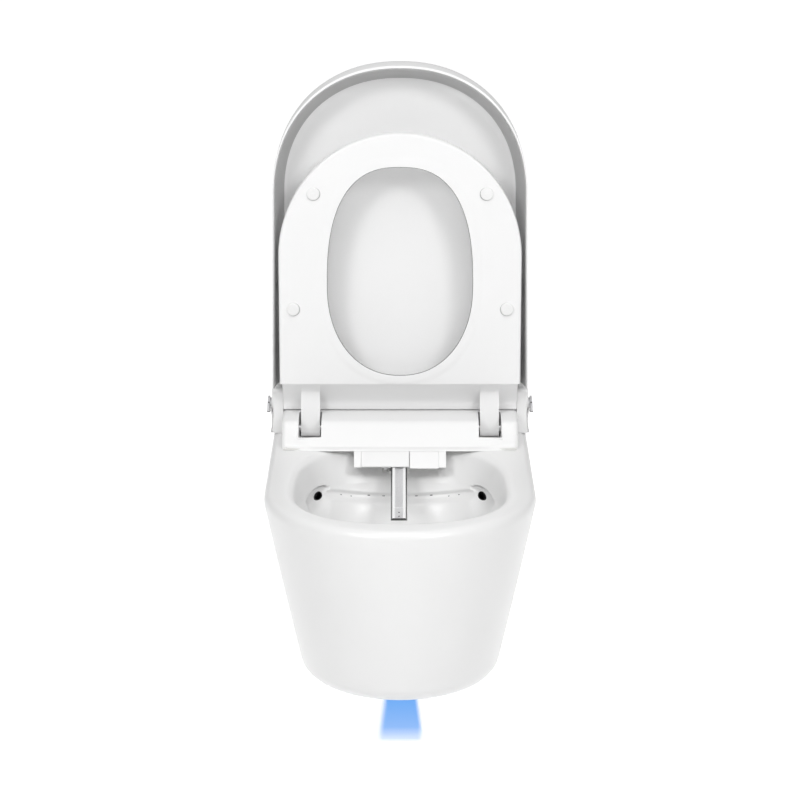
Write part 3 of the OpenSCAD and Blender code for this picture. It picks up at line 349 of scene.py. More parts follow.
def pale_floor():
    """A wide floor that takes the object's shadow and looks white to the camera."""
    mat, tree, links, shader = principled("pale_floor")
    shader.inputs["Base Color"].default_value = (0.96, 0.96, 0.96, 1)
    shader.inputs["Roughness"].default_value = 0.9
    shader.inputs["Emission Color"].default_value = (1, 1, 1, 1)
    lift = tree.new("ShaderNodeMath")
    lift.operation = "MULTIPLY"
    lift.inputs[1].default_value = FLOOR_LIFT
    links.new(any_ray(tree, links, "Is Camera Ray", "Is Glossy Ray", "Is Transmission Ray"), lift.inputs[0])
    links.new(lift.outputs[0], shader.inputs["Emission Strength"])
    bm = bmesh.new()
    bmesh.ops.create_grid(bm, x_segments=8, y_segments=8, size=9)
    mesh = bpy.data.meshes.new("floor")
    bm.to_mesh(mesh)
    bm.free()
    floor = linked("floor", mesh)
    floor.location = (0, 0, FLOOR_Z * MM)
    mesh.materials.append(mat)


def sensor_beam():
    """The soft blue light that the foot sensor throws below the bowl; part of the setting only."""
    mat = bpy.data.materials.new("beam")
    mat.use_nodes = True
    tree, links = mat.node_tree.nodes, mat.node_tree.links
    tree.clear()
    output = tree.new("ShaderNodeOutputMaterial")
    clear = tree.new("ShaderNodeBsdfTransparent")
    glow = tree.new("ShaderNodeEmission")
    glow.inputs["Color"].default_value = (0.16, 0.42, 0.93, 1)
    glow.inputs["Strength"].default_value = 1.0
    place = tree.new("ShaderNodeTexCoord")
    parts = tree.new("ShaderNodeSeparateXYZ")
    down = tree.new("ShaderNodeValToRGB")
    stops = down.color_ramp.elements
    stops[0].color, stops[1].color = (0, 0, 0, 1), (0.1, 0.1, 0.1, 1)
    for at, level in ((0.06, 0.35), (0.16, 1.0), (0.72, 0.86), (0.93, 0.45)):
        stops.new(at).color = (level, level, level, 1)
    sides = tree.new("ShaderNodeMath")
    sides.operation = "ABSOLUTE"
    across = tree.new("ShaderNodeMapRange")
    across.interpolation_type = "SMOOTHSTEP"
    across.inputs["From Min"].default_value = 0.98
    across.inputs["From Max"].default_value = 0.62
    both = tree.new("ShaderNodeMath")
    both.operation = "MULTIPLY"
    mix = tree.new("ShaderNodeMixShader")
    links.new(place.outputs["UV"], parts.inputs[0])
    links.new(parts.outputs["Y"], down.inputs["Fac"])
    links.new(parts.outputs["X"], sides.inputs[0])
    links.new(sides.outputs[0], across.inputs["Value"])
    links.new(down.outputs["Color"], both.inputs[0])
    links.new(across.outputs["Result"], both.inputs[1])
    links.new(both.outputs[0], mix.inputs["Fac"])
    links.new(clear.outputs[0], mix.inputs[1])
    links.new(glow.outputs[0], mix.inputs[2])
    links.new(mix.outputs[0], output.inputs["Surface"])
    mesh = bpy.data.meshes.new("sensor_beam")
    corners = [(-BEAM_TOP_HALF, BEAM_TOP), (BEAM_TOP_HALF, BEAM_TOP), (BEAM_LOW_HALF, BEAM_LOW),
               (-BEAM_LOW_HALF, BEAM_LOW), (0, BEAM_TOP), (0, BEAM_LOW)]
    mesh.from_pydata([(x * MM, LAMP_Y * MM, z * MM) for x, z in corners], [], [(0, 4, 5, 3), (4, 1, 2, 5)])
    spread = mesh.uv_layers.new(name="beam")
    for loop, uv in zip(spread.data, ((-1, 0), (0, 0), (0, 1), (-1, 1), (0, 0), (1, 0), (1, 1), (0, 1))):
        loop.uv = uv
    mesh.materials.append(mat)
    linked("sensor_beam", mesh)


def studio_world():
    """An even soft light on the object, and plain white where the camera sees the background."""
    world = bpy.data.worlds.new("studio")
    scene.world = world
    world.use_nodes = True
    tree, links = world.node_tree.nodes, world.node_tree.links
    tree.clear()
    output = tree.new("ShaderNodeOutputWorld")
    mix = tree.new("ShaderNodeMixShader")
    white = tree.new("ShaderNodeBackground")
    white.inputs["Color"].default_value = (1, 1, 1, 1)
    white.inputs["Strength"].default_value = 1.0
    soft = tree.new("ShaderNodeBackground")
    soft.inputs["Color"].default_value = (1, 1, 1, 1)
    soft.inputs["Strength"].default_value = WORLD_LIGHT
    links.new(any_ray(tree, links, "Is Camera Ray", "Is Transmission Ray"), mix.inputs["Fac"])
    links.new(soft.outputs[0], mix.inputs[1])
    links.new(white.outputs[0], mix.inputs[2])
    links.new(mix.outputs[0], output.inputs["Surface"])


pale_floor()
sensor_beam()
studio_world()


# ---------- shared outlines ----------

REAR_STEPS, SIDE_STEPS, NOSE_STEPS = 24, 24, 40


def d_ring(half, rear, reach, depth, z, closed=True):
    """D outline at a height: straight sides and an elliptical nose, anticlockwise from the rear."""
    right = []
    if closed:
        right += [(half * i / REAR_STEPS, -rear) for i in range(REAR_STEPS)]
    nose_y = -(reach - depth)
    right += [(half, -rear + (nose_y + rear) * i / SIDE_STEPS) for i in range(SIDE_STEPS)]
    right += [(half * cos(pi / 2 * i / NOSE_STEPS), nose_y - depth * sin(pi / 2 * i / NOSE_STEPS))
              for i in range(NOSE_STEPS)]
    left = [(-x, y) for x, y in reversed(right)]
    if closed:
        left = left[:-1]
    return [(x, y, z) for x, y in right + [(0, -reach)] + left]


def egg_radius(angle, half, front, rear, p_front, p_rear):
    """Radius of an egg outline whose front and rear halves have their own depth and power."""
    c, s = abs(cos(angle)), abs(sin(angle))
    depth, p = (front, p_front) if sin(angle) < 0 else (rear, p_rear)
    return ((c / half) ** p + (s / depth) ** p) ** (-1 / p)


def between(table, at):
    """Straight-line interpolation in rows of (key, value...)."""
    low = table[0]
    for row in table:
        if row[0] >= at:
            if row[0] == low[0]:
                return row[1:]
            t = (at - low[0]) / (row[0] - low[0])
            return tuple(a + (b - a) * t for a, b in zip(low[1:], row[1:]))
        low = row
    return table[-1][1:]


def smoothstep(x):
    x = min(max(x, 0.0), 1.0)
    return x * x * (3 - 2 * x)


def cut(obj, cutters):
    """Takes closed solids, each with its points and faces, away from a piece."""
    for verts, faces in cutters:
        mesh = clean_mesh("cutter", verts, faces)
        cutter = linked("cutter", mesh)
        mod = obj.modifiers.new("cut", "BOOLEAN")
        mod.operation = "DIFFERENCE"
        mod.solver = "EXACT"
        mod.object = cutter
        apply_modifiers(obj)
        bpy.data.objects.remove(cutter)
        bpy.data.meshes.remove(mesh)


def capped(rings):
    """A closed solid from rings, with flat ends."""
    verts, faces = loft(rings)
    n = len(rings[0])
    faces.append(tuple(reversed(range(n))))
    faces.append(tuple(range(len(verts) - n, len(verts))))
    return verts, faces


def rod(a, b, r, steps=48):
    """A cylinder between two points."""
    a, b = Vector(a), Vector(b)
    turn = (b - a).to_track_quat("Z", "Y").to_matrix()
    ends = []
    for at in (a, b):
        ends.append([at + turn @ Vector((r * cos(2 * pi * i / steps), r * sin(2 * pi * i / steps), 0))
                     for i in range(steps)])
    return capped(ends)


def prism(profile, x0, x1):
    """A solid with a Y-Z profile, from x0 to x1."""
    return capped([[(x, y, z) for y, z in profile] for x in (x0, x1)])


def rounded_prism(name, profile, x0, x1, width, material, body, slot, matrix=Matrix()):
    """A prism with its sharp edges rounded over."""
    verts, faces = prism(profile, x0, x1)
    obj = add_mesh(name, moved(verts, matrix), faces, material, body, slot)
    bm = bmesh.new()
    bm.from_mesh(obj.data)
    mark_sharp(bm)
    bm.to_mesh(obj.data)
    bm.free()
    round_marked(obj, width)
    finish_mesh(obj, material)
    return obj


def turned_piece(name, profile, matrix, material, body, slot, steps=64, smooth=35):
    verts, faces = turned(profile, steps)
    return add_mesh(name, moved(verts, matrix), faces, material, body, slot, smooth)


def blended(a, b, share):
    """A ring part of the way from one ring to another."""
    return [tuple(p[k] + (q[k] - p[k]) * share for k in range(3)) for p, q in zip(a, b)]


# ---------- ceramic bowl ----------

RIM_Z = 80.0
BOWL_H = 265.0
BOWL_W, FOOT_W = 396.0, 276.0
BOWL_REACH, FRONT_TUCK, NOSE = 590.0, 37.0, 207.0
FOOT_NOSE_SHARE, SIDE_POWER, TUCK_POWER = 0.525, 1.02, 1.42
RIM_ROUND, ROLL_DOWN, FOOT_ROUND = 14.0, 18.0, 24.0
BACK = 4.0
MOUTH_R, MOUTH_Y, MOUTH_FRONT, MOUTH_REAR = 151.0, 384.9, 154.1, 212.9
FLUSH_Z = 18.0


def body_ring(z, inset):
    s = (RIM_Z - z) / BOWL_H
    half = BOWL_W / 2 - (BOWL_W - FOOT_W) / 2 * max(s, 0) ** SIDE_POWER - inset
    reach = BOWL_REACH - FRONT_TUCK * max(s, 0) ** TUCK_POWER - inset
    depth = NOSE - (NOSE - FOOT_W * FOOT_NOSE_SHARE) * s - inset
    return d_ring(half, BACK, reach, depth, z)


# Basin wall: height, then how far it lies inside the mouth at the sides, the front and the rear.
BASIN = [(-110, 107, 142, 119), (-107, 102, 136, 114), (-100, 98, 131, 110), (-85, 87, 118, 99),
         (-65, 72, 97, 84), (-45, 56, 74, 67), (-25, 39, 52, 52), (-10, 28, 38, 42), (5, 18.5, 27, 34),
         (18, 12.0, 20, 28), (30, 8.6, 14.5, 20), (40, 6.6, 10.5, 15), (52, 4.2, 6.4, 9), (60, 2.5, 3.8, 5),
         (66, 1.1, 1.6, 2), (70, 0, 0.2, 0.2), (73, -1.3, -1.2, -1.2), (75.5, -3.0, -2.9, -2.9),
         (77.5, -5.4, -5.2, -5.2), (79, -8.6, -8.4, -8.4), (79.8, -12, -12, -12), (80, -15.5, -15.5, -15.5)]
GROOVE_LOW, GROOVE_LIFT, GROOVE_END, GROOVE_HALF, GROOVE_DEPTH = 8.2, 16.0, 112.0, 5.5, 6.0
JET_X, JET_Z, JET_R = 122.4, 21.0, 6.2
ALCOVE_X, ALCOVE_WIDE, ALCOVE_TALL, ALCOVE_DEEP = 123.0, 21.0, 19.5, 13.0
JET_AIM = Vector((0, cos(radians(32)), -sin(radians(32))))
# Small rim jets in the groove: distance from the middle, height, half width.
RIM_JETS = [(25, 10.2, 2.9), (48.3, 11.5, 3.4), (73.6, 12.1, 1.2), (88.7, 16.0, 1.2)]
# The wand's dip, its root and its half thickness, as in the CAD, and the slot under it.
WAND_DIP = radians(18)
WAND_X, WAND_Y, WAND_Z, WAND_R = -1.5, -219, 53, 8.5
SLOT_REAR, SLOT_HALF, SLOT_DROP = -206, 26, WAND_R + 3.6
# Places and radii of the ways through the ceramic, within 0.2 mm of the CAD's.
WASTE_Z, WASTE_R, WASTE_RECESS_R = -100, 42, 66
TRAP, TRAP_R = [(0, -350, -82), (0, -235, -60), (0, -150, -96), (0, -90, WASTE_Z)], 28
INLET_Z, INLET_R, SEAL_R = 35, 18.5, 27.5
STUD_X, STUD_R = 90, 9
SERVICE_X, SERVICE_Z, SERVICE_R = 130, 42, 18
FEED_Y, FEED_R = -38, 12
BOLT_X, BOLT_Y, BOLT_R = 92, -156, 4.4
LAMP_R = 14.4
PAST_WALL = 5


def groove_z(x):
    return GROOVE_LOW + GROOVE_LIFT * min(abs(x) / GROOVE_END, 1) ** 2.2


def alcove(x, y, z):
    """How far the basin's wall is pushed out at a place: a shallow groove, and a pocket round each jet."""
    rear = smoothstep((y + 300) / 30)
    up = (z - groove_z(x)) / GROOVE_HALF
    groove = GROOVE_DEPTH * smoothstep((1.45 - max(up, 0)) / 1.35) * smoothstep((1.7 - max(-up, 0)) / 1.4)
    groove *= smoothstep((138 - abs(x)) / 14)
    across = abs(abs(x) - ALCOVE_X) / ALCOVE_WIDE
    roof = FLUSH_Z + ALCOVE_TALL * (max(1 - across ** 2.2, 0)) ** 0.5
    pocket = ALCOVE_DEEP * smoothstep((roof - z) / 1.2 + 0.4) * smoothstep((z + 16) / 24)
    pocket *= smoothstep((1.0 - across) / (0.06 if abs(x) > ALCOVE_X else 0.7))
    return rear * max(groove, pocket)


def basin_point(angle, z):
    narrow, front, rear = between(BASIN, z)
    r = egg_radius(angle, MOUTH_R - narrow, MOUTH_FRONT - front, MOUTH_REAR - rear, 2.3, 3)
    r += alcove(r * cos(angle), -MOUTH_Y + r * sin(angle), z)
    return (r * cos(angle), -MOUTH_Y + r * sin(angle), z)


def basin_wall_y(x, z):
    """Where the rear wall of the basin stands at a place across and up."""
    low, high = radians(20), radians(90)
    for _ in range(30):
        middle = (low + high) / 2
        if basin_point(middle, z)[0] > x:
            low = middle
        else:
            high = middle
    return basin_point(low, z)[1]


def wall_ring(x0, z0, r, depth, side, steps=48):
    """A circle that lies on the basin's rear wall round a jet, pushed in along the jet by a depth."""
    ring = []
    for i in range(steps):
        x, z = x0 + r * cos(2 * pi * i / steps), z0 + 0.88 * r * sin(2 * pi * i / steps)
        p = Vector((x, basin_wall_y(x, z), z)) + JET_AIM * depth
        ring.append((side * p.x, p.y, p.z))
    return ring


def basin_levels():
    """Rings of the basin from the sump up to the deck, with the flush recess in the rear half."""
    angles = [atan2(y + MOUTH_Y, x) for x, y, z in body_ring(RIM_Z, RIM_ROUND)]
    levels = [-110, -107, -100, -85, -65, -45, -30, -20, -14, -10, -6, -2, 1, 3.5]
    levels += [5 + 0.9 * i for i in range(38)]
    levels += [41, 46, 52, 56, 60, 63, 66, 68, 70, 71.5, 73, 74.3, 75.5, 76.5, 77.5, 78.3, 79, 79.5, 79.8, 80]
    return [[basin_point(a, z) for a in angles] for z in levels]


def ceramic():
    rings = basin_levels()
    for i in range(13):
        turn = pi / 2 * i / 12
        rings.append(body_ring(RIM_Z - ROLL_DOWN * (1 - cos(turn)), RIM_ROUND * (1 - sin(turn))))
    foot = RIM_Z - BOWL_H + FOOT_ROUND
    levels = 22
    for i in range(1, levels + 1):
        rings.append(body_ring(RIM_Z - ROLL_DOWN + (foot - RIM_Z + ROLL_DOWN) * i / levels, 0))
    for i in range(1, 9):
        turn = pi / 2 * i / 8
        rings.append(body_ring(foot - FOOT_ROUND * sin(turn), FOOT_ROUND * (1 - cos(turn))))
    obj = add_mesh("bowl_ceramic", *capped(rings), GLAZE, BOWL, "ceramic")
    tan_dip = sin(WAND_DIP) / cos(WAND_DIP)

    def under(y):
        """Height of the wand slot's floor, which follows the wand."""
        return WAND_Z + (y - WAND_Y) * tan_dip - SLOT_DROP / cos(WAND_DIP)

    top_z = RIM_Z + 1
    top_y = WAND_Y + (top_z - WAND_Z + SLOT_DROP / cos(WAND_DIP)) / tan_dip
    slot = [(SLOT_REAR, top_z), (SLOT_REAR, under(SLOT_REAR)), (top_y, top_z)]
    cutters = [prism(slot, WAND_X - SLOT_HALF, WAND_X + SLOT_HALF)]
    for a, b in zip(TRAP, TRAP[1:]):
        cutters.append(rod(a, (Vector(b) - Vector(a)).normalized() * 8 + Vector(b), TRAP_R))
    cutters.append(rod((0, -84, WASTE_Z), (0, PAST_WALL, WASTE_Z), WASTE_R))
    cutters.append(rod((0, -60, WASTE_Z), (0, PAST_WALL, WASTE_Z), WASTE_RECESS_R))
    cutters.append(rod((0, -34, INLET_Z), (0, PAST_WALL, INLET_Z), SEAL_R))
    cutters.append(rod((0, -140, INLET_Z), (0, PAST_WALL, INLET_Z), INLET_R))
    for side in (-1, 1):
        service_x, bolt_x = side * SERVICE_X, side * BOLT_X
        cutters.append(rod((side * STUD_X, -40, 0), (side * STUD_X, PAST_WALL, 0), STUD_R))
        cutters.append(rod((service_x, -60, SERVICE_Z), (service_x, PAST_WALL, SERVICE_Z), SERVICE_R))
        cutters.append(rod((service_x, FEED_Y, 30), (service_x, FEED_Y, 90), FEED_R))
        cutters.append(rod((bolt_x, BOLT_Y, 50), (bolt_x, BOLT_Y, 90), BOLT_R))
        cutters.append(capped([wall_ring(JET_X, JET_Z, JET_R, depth, side) for depth in (-12, 30)]))
    cutters.append(rod((0, LAMP_Y, -190), (0, LAMP_Y, -156), LAMP_R))
    cut(obj, cutters)
    finish_mesh(obj, GLAZE, 30)
    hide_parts("ceramic_bowl")
    waste_spigot()
    jets()


def waste_spigot():
    """The outlet pipe, which stands in its recess in the ceramic's back."""
    ring = [(WASTE_R, -62), (51, -62), (51, -12.5), (49.5, -10), (43, -10), (WASTE_R, -11.5), (WASTE_R, -62)]
    verts, faces = turned(ring, 96)
    turn = Matrix.Rotation(radians(-90), 4, "X")
    verts = [turn @ Vector(v) + Vector((0, 0, WASTE_Z)) for v in verts]
    add_mesh("waste_spigot", verts, faces, GLAZE, BOWL, "ceramic")


def jets():
    """Black linings in the two flush jets and black discs for the row of small jets in the groove: painted
    shade that stands for the dark inside of the openings.
    """
    out = JET_R - 0.15
    cup = [(0, 30), (out, 30), (out, 0.5), (out - 0.4, 0.1), (out - 0.9, 0.1), (out - 1.2, 0.6),
           (out - 1.2, 26), (0, 26)]
    plug = [(0, 5), (1, 5), (1, 0.25), (0.85, 0.05), (0.6, 0), (0, 0)]
    for side, name in SIDES:
        verts, faces = loft([wall_ring(JET_X, JET_Z, r, depth, side) for r, depth in cup])
        add_mesh("jet_painted_shade_" + name, verts, faces, BLACK, BOWL, "black_plastic")
        for i, (x, z, wide) in enumerate(RIM_JETS):
            verts, faces = turned(plug, 24)
            place = Matrix.Translation((side * x, basin_wall_y(x, z) - 0.12, z))
            place = place @ Matrix.Rotation(radians(-90), 4, "X")
            verts = [place @ Vector((v[0] * wide, v[1] * 0.95, v[2])) for v in verts]
            add_mesh(f"rim_jet_painted_shade_{name}_{i + 1}", verts, faces, BLACK, BOWL, "black_plastic")


ceramic()


# ---------- raised lid and seat: drawn closed, turned up about the CAD's hinges ----------

LID_AXIS = mm(joints["lid_hinge"]["pos_m"])
SEAT_AXIS = mm(joints["seat_hinge"]["pos_m"])
LID_OPEN, SEAT_OPEN = 92.0, 91.0


def turned_up(axis, angle):
    return Matrix.Translation(axis) @ Matrix.Rotation(radians(-angle), 4, "X") @ Matrix.Translation(-axis)


LID_UP = turned_up(LID_AXIS, LID_OPEN)
SEAT_UP = turned_up(SEAT_AXIS, SEAT_OPEN)

LID_W, LID_REACH, LID_NOSE = 386.0, 593.0, 193.0
LID_TOP, SKIRT_Y, TONGUE_Y, TONGUE_HALF = 150.0, 105.0, 64.0, 178.0
LID_ROUND = 12.0
LID_NOSE_POWER = 2.17
REAR_FLARE, NOSE_TAPER = 1.2, 2.6
# Outside and inside of the lid: height, inset at the sides, inset at the front.
LID_OUTSIDE = [(83.1, 1.5, 2.6), (83.5, 0.7, 1.8), (84.3, 0.35, 1.4), (88, 0.3, 1.2), (94, 0.2, 0.9),
               (101, 0.1, 0.6), (108, 0, 0.3), (116, 0, 0.1), (126, 0, 0), (137.2, 0, 0)]
LID_INSIDE = [(83.1, 2.5, 4.6), (83.6, 3.1, 5.4), (88, 3.5, 6.2), (94, 4.1, 7.2), (101, 5.0, 8.6),
              (108, 6.0, 10.4), (116, 7.4, 13.0), (123, 9.0, 15.8), (129, 10.8, 18.6),
              (133.5, 12.8, 21.4), (137, 15.4, 24.4),
              (139.6, 18.8, 28.0), (141.0, 23.0, 32.0), (141.5, 27, 36)]


def lid_ring(side_in, front_in, z):
    half = LID_W / 2 - side_in
    reach, depth = LID_REACH - front_in, LID_NOSE - (side_in + front_in) / 2
    ring = []
    for x, y, z in d_ring(half, SKIRT_Y, reach, depth, z, closed=False):
        along = (-y - SKIRT_Y) / (reach - depth - SKIRT_Y)
        if along > 1:
            angle = atan2(-y - reach + depth, abs(x) * depth / half)
            c, d = abs(cos(angle)), sin(angle)
            grow = (c ** LID_NOSE_POWER + d ** LID_NOSE_POWER) ** (-1 / LID_NOSE_POWER)
            x, y = x * grow, -(reach - depth) - (-y - reach + depth) * grow
            along = 1
        ring.append((x * (half + REAR_FLARE - (REAR_FLARE + NOSE_TAPER) * along) / half, y, z))
    return ring


def shrunk(ring, share, lift):
    """A copy of an open ring, drawn in towards the middle of its rear edge."""
    y0, z0 = ring[0][1], ring[0][2]
    return [(x * share, y0 + (y - y0) * share, z0 + lift * (1 - share ** 2)) for x, y, _ in ring]


def lid():
    outer = [lid_ring(side_in, front_in, z) for z, side_in, front_in in LID_OUTSIDE]
    for i in range(1, 10):
        turn = pi / 2 * i / 9
        inset = LID_ROUND * (1 - cos(turn))
        outer.append(lid_ring(inset, inset, LID_TOP - 0.8 - LID_ROUND + LID_ROUND * sin(turn)))
    inner = [lid_ring(side_in, front_in, z) for z, side_in, front_in in LID_INSIDE]
    edge, panel = outer[-1], inner[-1]
    outer += [shrunk(edge, share, 0.7) for share in (0.97, 0.85, 0.7, 0.55, 0.4, 0.25, 0.1, 0.0)]
    left = len(outer) - len(inner)
    inner += [shrunk(panel, 1 - (i + 1) / left, 0.0) for i in range(left)]
    n = len(outer[0])
    verts, faces, base = double_wall(outer, inner)
    for i in range(n - 1):
        faces.append((i, base + i, base + i + 1, i + 1))
    for k in range(len(outer) - 1):
        a, b = k * n, (k + 1) * n
        faces.append((a, b, base + b, base + a))
        faces.append((a + n - 1, base + a + n - 1, base + b + n - 1, b + n - 1))
    obj = add_mesh("lid_shell_form", moved(verts, LID_UP), faces, LID, "lid", "lid_white", 32)
    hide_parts("lid_shell", "lid_liner")
    # painted shade: a grey liner round the inside of the lid's wall, standing for the shade on that wall
    wall = [row for row in LID_INSIDE if row[0] <= 137]
    near = [lid_ring(side_in + 0.1, front_in + 0.1, z) for z, side_in, front_in in wall]
    far = [lid_ring(side_in + 0.9, front_in + 0.9, z + 0.3) for z, side_in, front_in in wall]
    rings = near + far[::-1]
    m = len(near[0])
    verts, faces = loft(rings + [near[0]], closed=False)
    for i in (0, m - 1):
        faces.append(tuple(k * m + i for k in range(len(rings))))
    add_mesh("lid_wall_painted_shade", moved(verts, LID_UP), faces, SHADE_GREY, "lid", "base_plastic", 32)
    # the tongue that reaches back to the hinge barrels
    low, high = LID_TOP - 8.3, LID_TOP - 0.6
    profile = [(-SKIRT_Y - 6, low), (-TONGUE_Y - 2, low), (-TONGUE_Y, low + 2), (-TONGUE_Y, high - 3),
               (-TONGUE_Y - 1, high - 1), (-TONGUE_Y - 3, high), (-SKIRT_Y - 6, high)]
    rounded_prism("lid_tongue", profile, -TONGUE_HALF, TONGUE_HALF, 1.2, LID, "lid", "lid_white", LID_UP)
    for side, name in SIDES:
        ring = [(0, 0), (6.2, 0), (7, 0.8), (7, 23.2), (6.2, 24), (0, 24)]
        verts, faces = turned(ring, 48)
        turn = Matrix.Translation((side * TONGUE_HALF, LID_AXIS.y, LID_AXIS.z)) @ \
            Matrix.Rotation(radians(-90 * side), 4, "Y")
        add_mesh("lid_barrel_" + name, moved(verts, LID_UP @ turn), faces, LID, "lid", "lid_white")


lid()

SEAT_W, SEAT_REACH, SEAT_NOSE = 364.0, 580.0, 186.0
SEAT_LOW, SEAT_TOP = 83.5, 109.5
HOLE_R, HOLE_REAR, HOLE_FRONT = 108.4, 213.0, 529.2
HOLE_MID = 350.0
HOLE_POWERS = (2.55, 2.17)
STEP_Y = 198.5


def hole_radius(angle, grow=0.0):
    """Radius of the seat's hole about its middle, or of an outline that much larger."""
    front, rear = HOLE_FRONT - HOLE_MID + grow, HOLE_MID - HOLE_REAR + grow
    return egg_radius(angle, HOLE_R + grow, front, rear, *HOLE_POWERS)


def seat_frame():
    """The seat's ring: rings run from the hole's lower edge, out, over the top and back into the hole."""
    outline = d_ring(SEAT_W / 2, STEP_Y, SEAT_REACH, SEAT_NOSE, 0)
    angles = [atan2(y + HOLE_MID, x) for x, y, z in outline]

    def hole(grow, z):
        ring = []
        for a in angles:
            r = hole_radius(a, grow)
            x, y = r * cos(a), -HOLE_MID + r * sin(a)
            ring.append((x, min(y, -STEP_Y - 0.5), z))
        return ring

    def edge(inset, z):
        rear = STEP_Y + min(inset, 2) * 0.3
        return d_ring(SEAT_W / 2 - inset, rear, SEAT_REACH - inset, SEAT_NOSE - inset, z)

    def mixed(share, z):
        a, b = hole(17.5, z), edge(5, z)
        return [(p[0] + (q[0] - p[0]) * share, p[1] + (q[1] - p[1]) * share, z) for p, q in zip(a, b)]

    low = SEAT_LOW
    rings = [hole(1.0, low + 4.0), hole(0.25, low + 1.2), hole(0.0, low + 0.1), hole(0.15, low - 0.35),
             hole(1.0, low - 0.6), hole(2.0, low - 0.75), hole(10.0, low - 0.75), hole(12.5, low - 0.6),
             hole(14.5, low - 0.25), hole(16.5, low)]
    rings += [mixed(share, low) for share in (0.12, 0.4, 0.7, 1.0)]
    rings += [edge(3.0, low + 0.15), edge(1.4, low + 0.7), edge(0.4, low + 1.9), edge(0.0, low + 3.8)]
    rings += [edge(0, low + 9), edge(0, SEAT_TOP - 9)]
    for i in range(1, 7):
        turn = pi / 2 * i / 6
        rings.append(edge(9 * (1 - cos(turn)), SEAT_TOP - 9 + 9 * sin(turn) * 0.93))
    top = SEAT_TOP - 0.65
    for share, lift in ((0.85, 0.35), (0.6, 0.55), (0.3, 0.3)):
        rings.append(blended(hole(14, top + lift), edge(9, top + lift), share))
    rings += [hole(14, top), hole(10.5, top - 0.6), hole(7.8, top - 2.0), hole(5.6, top - 4.4),
              hole(4.0, top - 7.6), hole(2.8, top - 11.5), hole(1.8, top - 16), hole(1.0, low + 4.0)]
    verts, faces = loft(rings)
    obj = add_mesh("seat_ring_form", moved(verts, SEAT_UP), faces, SEAT, "seat", "seat_white", 30)
    # painted shade: a dark line just inside the hole's lower edge, standing for the shade along that edge
    obj.data.materials.append(HOLE_EDGE_SHADE)
    closed = SEAT_UP.inverted()
    for face in obj.data.polygons:
        x, y, z = closed @ (face.center / MM)
        if z < low + 0.9 and hypot(x, y + HOLE_MID) < hole_radius(atan2(y + HOLE_MID, x)) + 0.8:
            face.material_index = 1
    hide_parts("seat_base", "seat_top", "seat_heater")


def seat_bar():
    """The bar that climbs over the sloped front of the housing, and the two hinge arms."""
    rise = [(-STEP_Y - 4, SEAT_LOW + 0.9), (-STEP_Y - 0.4, SEAT_LOW + 0.9), (-197.4, 85.3), (-195, 87.9),
            (-190, 93.2), (-184, 99.5), (-178, 105.4), (-172, 110.9), (-168, 114.2), (-164.5, 116.6),
            (-161, 118.0), (-157.5, 118.6), (-151.6, 118.8), (-150.2, 119.4), (-149.6, 120.8),
            (-149.6, 127), (-150.4, 129.2), (-152.6, 130),
            (-173, 127.2), (-186, 117.5), (-STEP_Y - 4, 108.6)]
    rounded_prism("seat_bar", rise, -178, 178, 0.9, SEAT, "seat", "seat_white", SEAT_UP)
    r = 12.0
    ax, az = SEAT_AXIS.y, SEAT_AXIS.z
    profile = [(-197.2, 85.2), (-194.4, 88.3), (-190, 92.9), (-186.5, 96.2), (-183.8, 98.0), (-181, 98.3),
               (-177, 97.6), (-170, 95.5), (-160, 92.3), (-150, 89.2), (-143, 87.1), (-136, 85.3),
               (-130, 84.3), (-124, 83.9), (-121.2, 85.0), (-118.9, 86.6), (-117.0, 88.6),
               (-115.6, 91.2), (-114.9, 94)]
    profile += [(ax + r * sin(radians(t)), az - r * cos(radians(t))) for t in range(96, 151, 12)]
    profile += [(-148.5, 112), (-150.2, 121), (-170, 121), (-184, 108)]
    for side, name in SIDES:
        low, high = sorted((side * 121.4, side * 150.2))
        rounded_prism("seat_arm_" + name, profile, low, high, 0.7, SEAT, "seat", "seat_white", SEAT_UP)


seat_frame()
seat_bar()


PADS = ((129, -490.2), (160.5, -314.8))


def bumpers():
    """The seat's four pads, each on a grey ring of painted shade that shows as a dark crescent at its foot.
    """
    first = True
    for i, (x, y) in enumerate(PADS):
        for side in (-1, 1):
            name = f"seat_pad_{'left' if side < 0 else 'right'}_{i + 1}"
            base, r = SEAT_LOW + 1.2, 9.5
            profile = [(0, base), (r, base), (r, 81.3), (r - 0.2, 80.7), (r - 0.7, 80.35), (r - 1.6, 80.2),
                       (0, 80.2)]
            place = SEAT_UP @ Matrix.Translation((side * x, y, 0))
            obj = turned_piece(name, profile, place, BUMPER, "seat", "bumper")
            low = SEAT_LOW - 0.35
            # painted shade: a grey ring set a little off centre, so that it shows as a dark crescent below
            # and inside the pad
            shade_profile = [(0, base), (10.0, base), (10.0, low + 0.2), (9.8, low), (9.0, low), (8.8, low + 0.3),
                      (0, low + 0.3)]
            place = SEAT_UP @ Matrix.Translation((side * (x - 0.55), y + 0.55, 0))
            turned_piece(name + "_shade_ring", shade_profile, place, SHADE_GREY, "seat", "bumper")
            if first:
                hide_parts("seat_bumpers")
                first = False


bumpers()


# ---------- housing ----------

HOUSING_HALF, EAR_OUT, EAR_IN, END_ROUND = 178.0, 196.0, 180.0, 7.0
FOOT_Y, SLOPE_TOP_Y, BLOCK_Y, EAR_Y, BACK_Y = 196.0, 165.0, 60.0, 100.0, 12.0
DECK_Z, FRONT_Z, BLOCK_Z = 80.3, 117.0, 152.0
POCKET_IN, POCKET_OUT, POCKET_FRONT, POCKET_REAR = 118.5, 153, -184.0, -110.0
POCKET_FLOOR, POCKET_WALL = 83.4, 1.0
KNOB_Y, KNOB_Z, KNOB_R, KNOB_IN, KNOB_DEEP, KNOB_LEAN = -72.0, 119.0, 12.9, 199.5, 4.4, 1.2


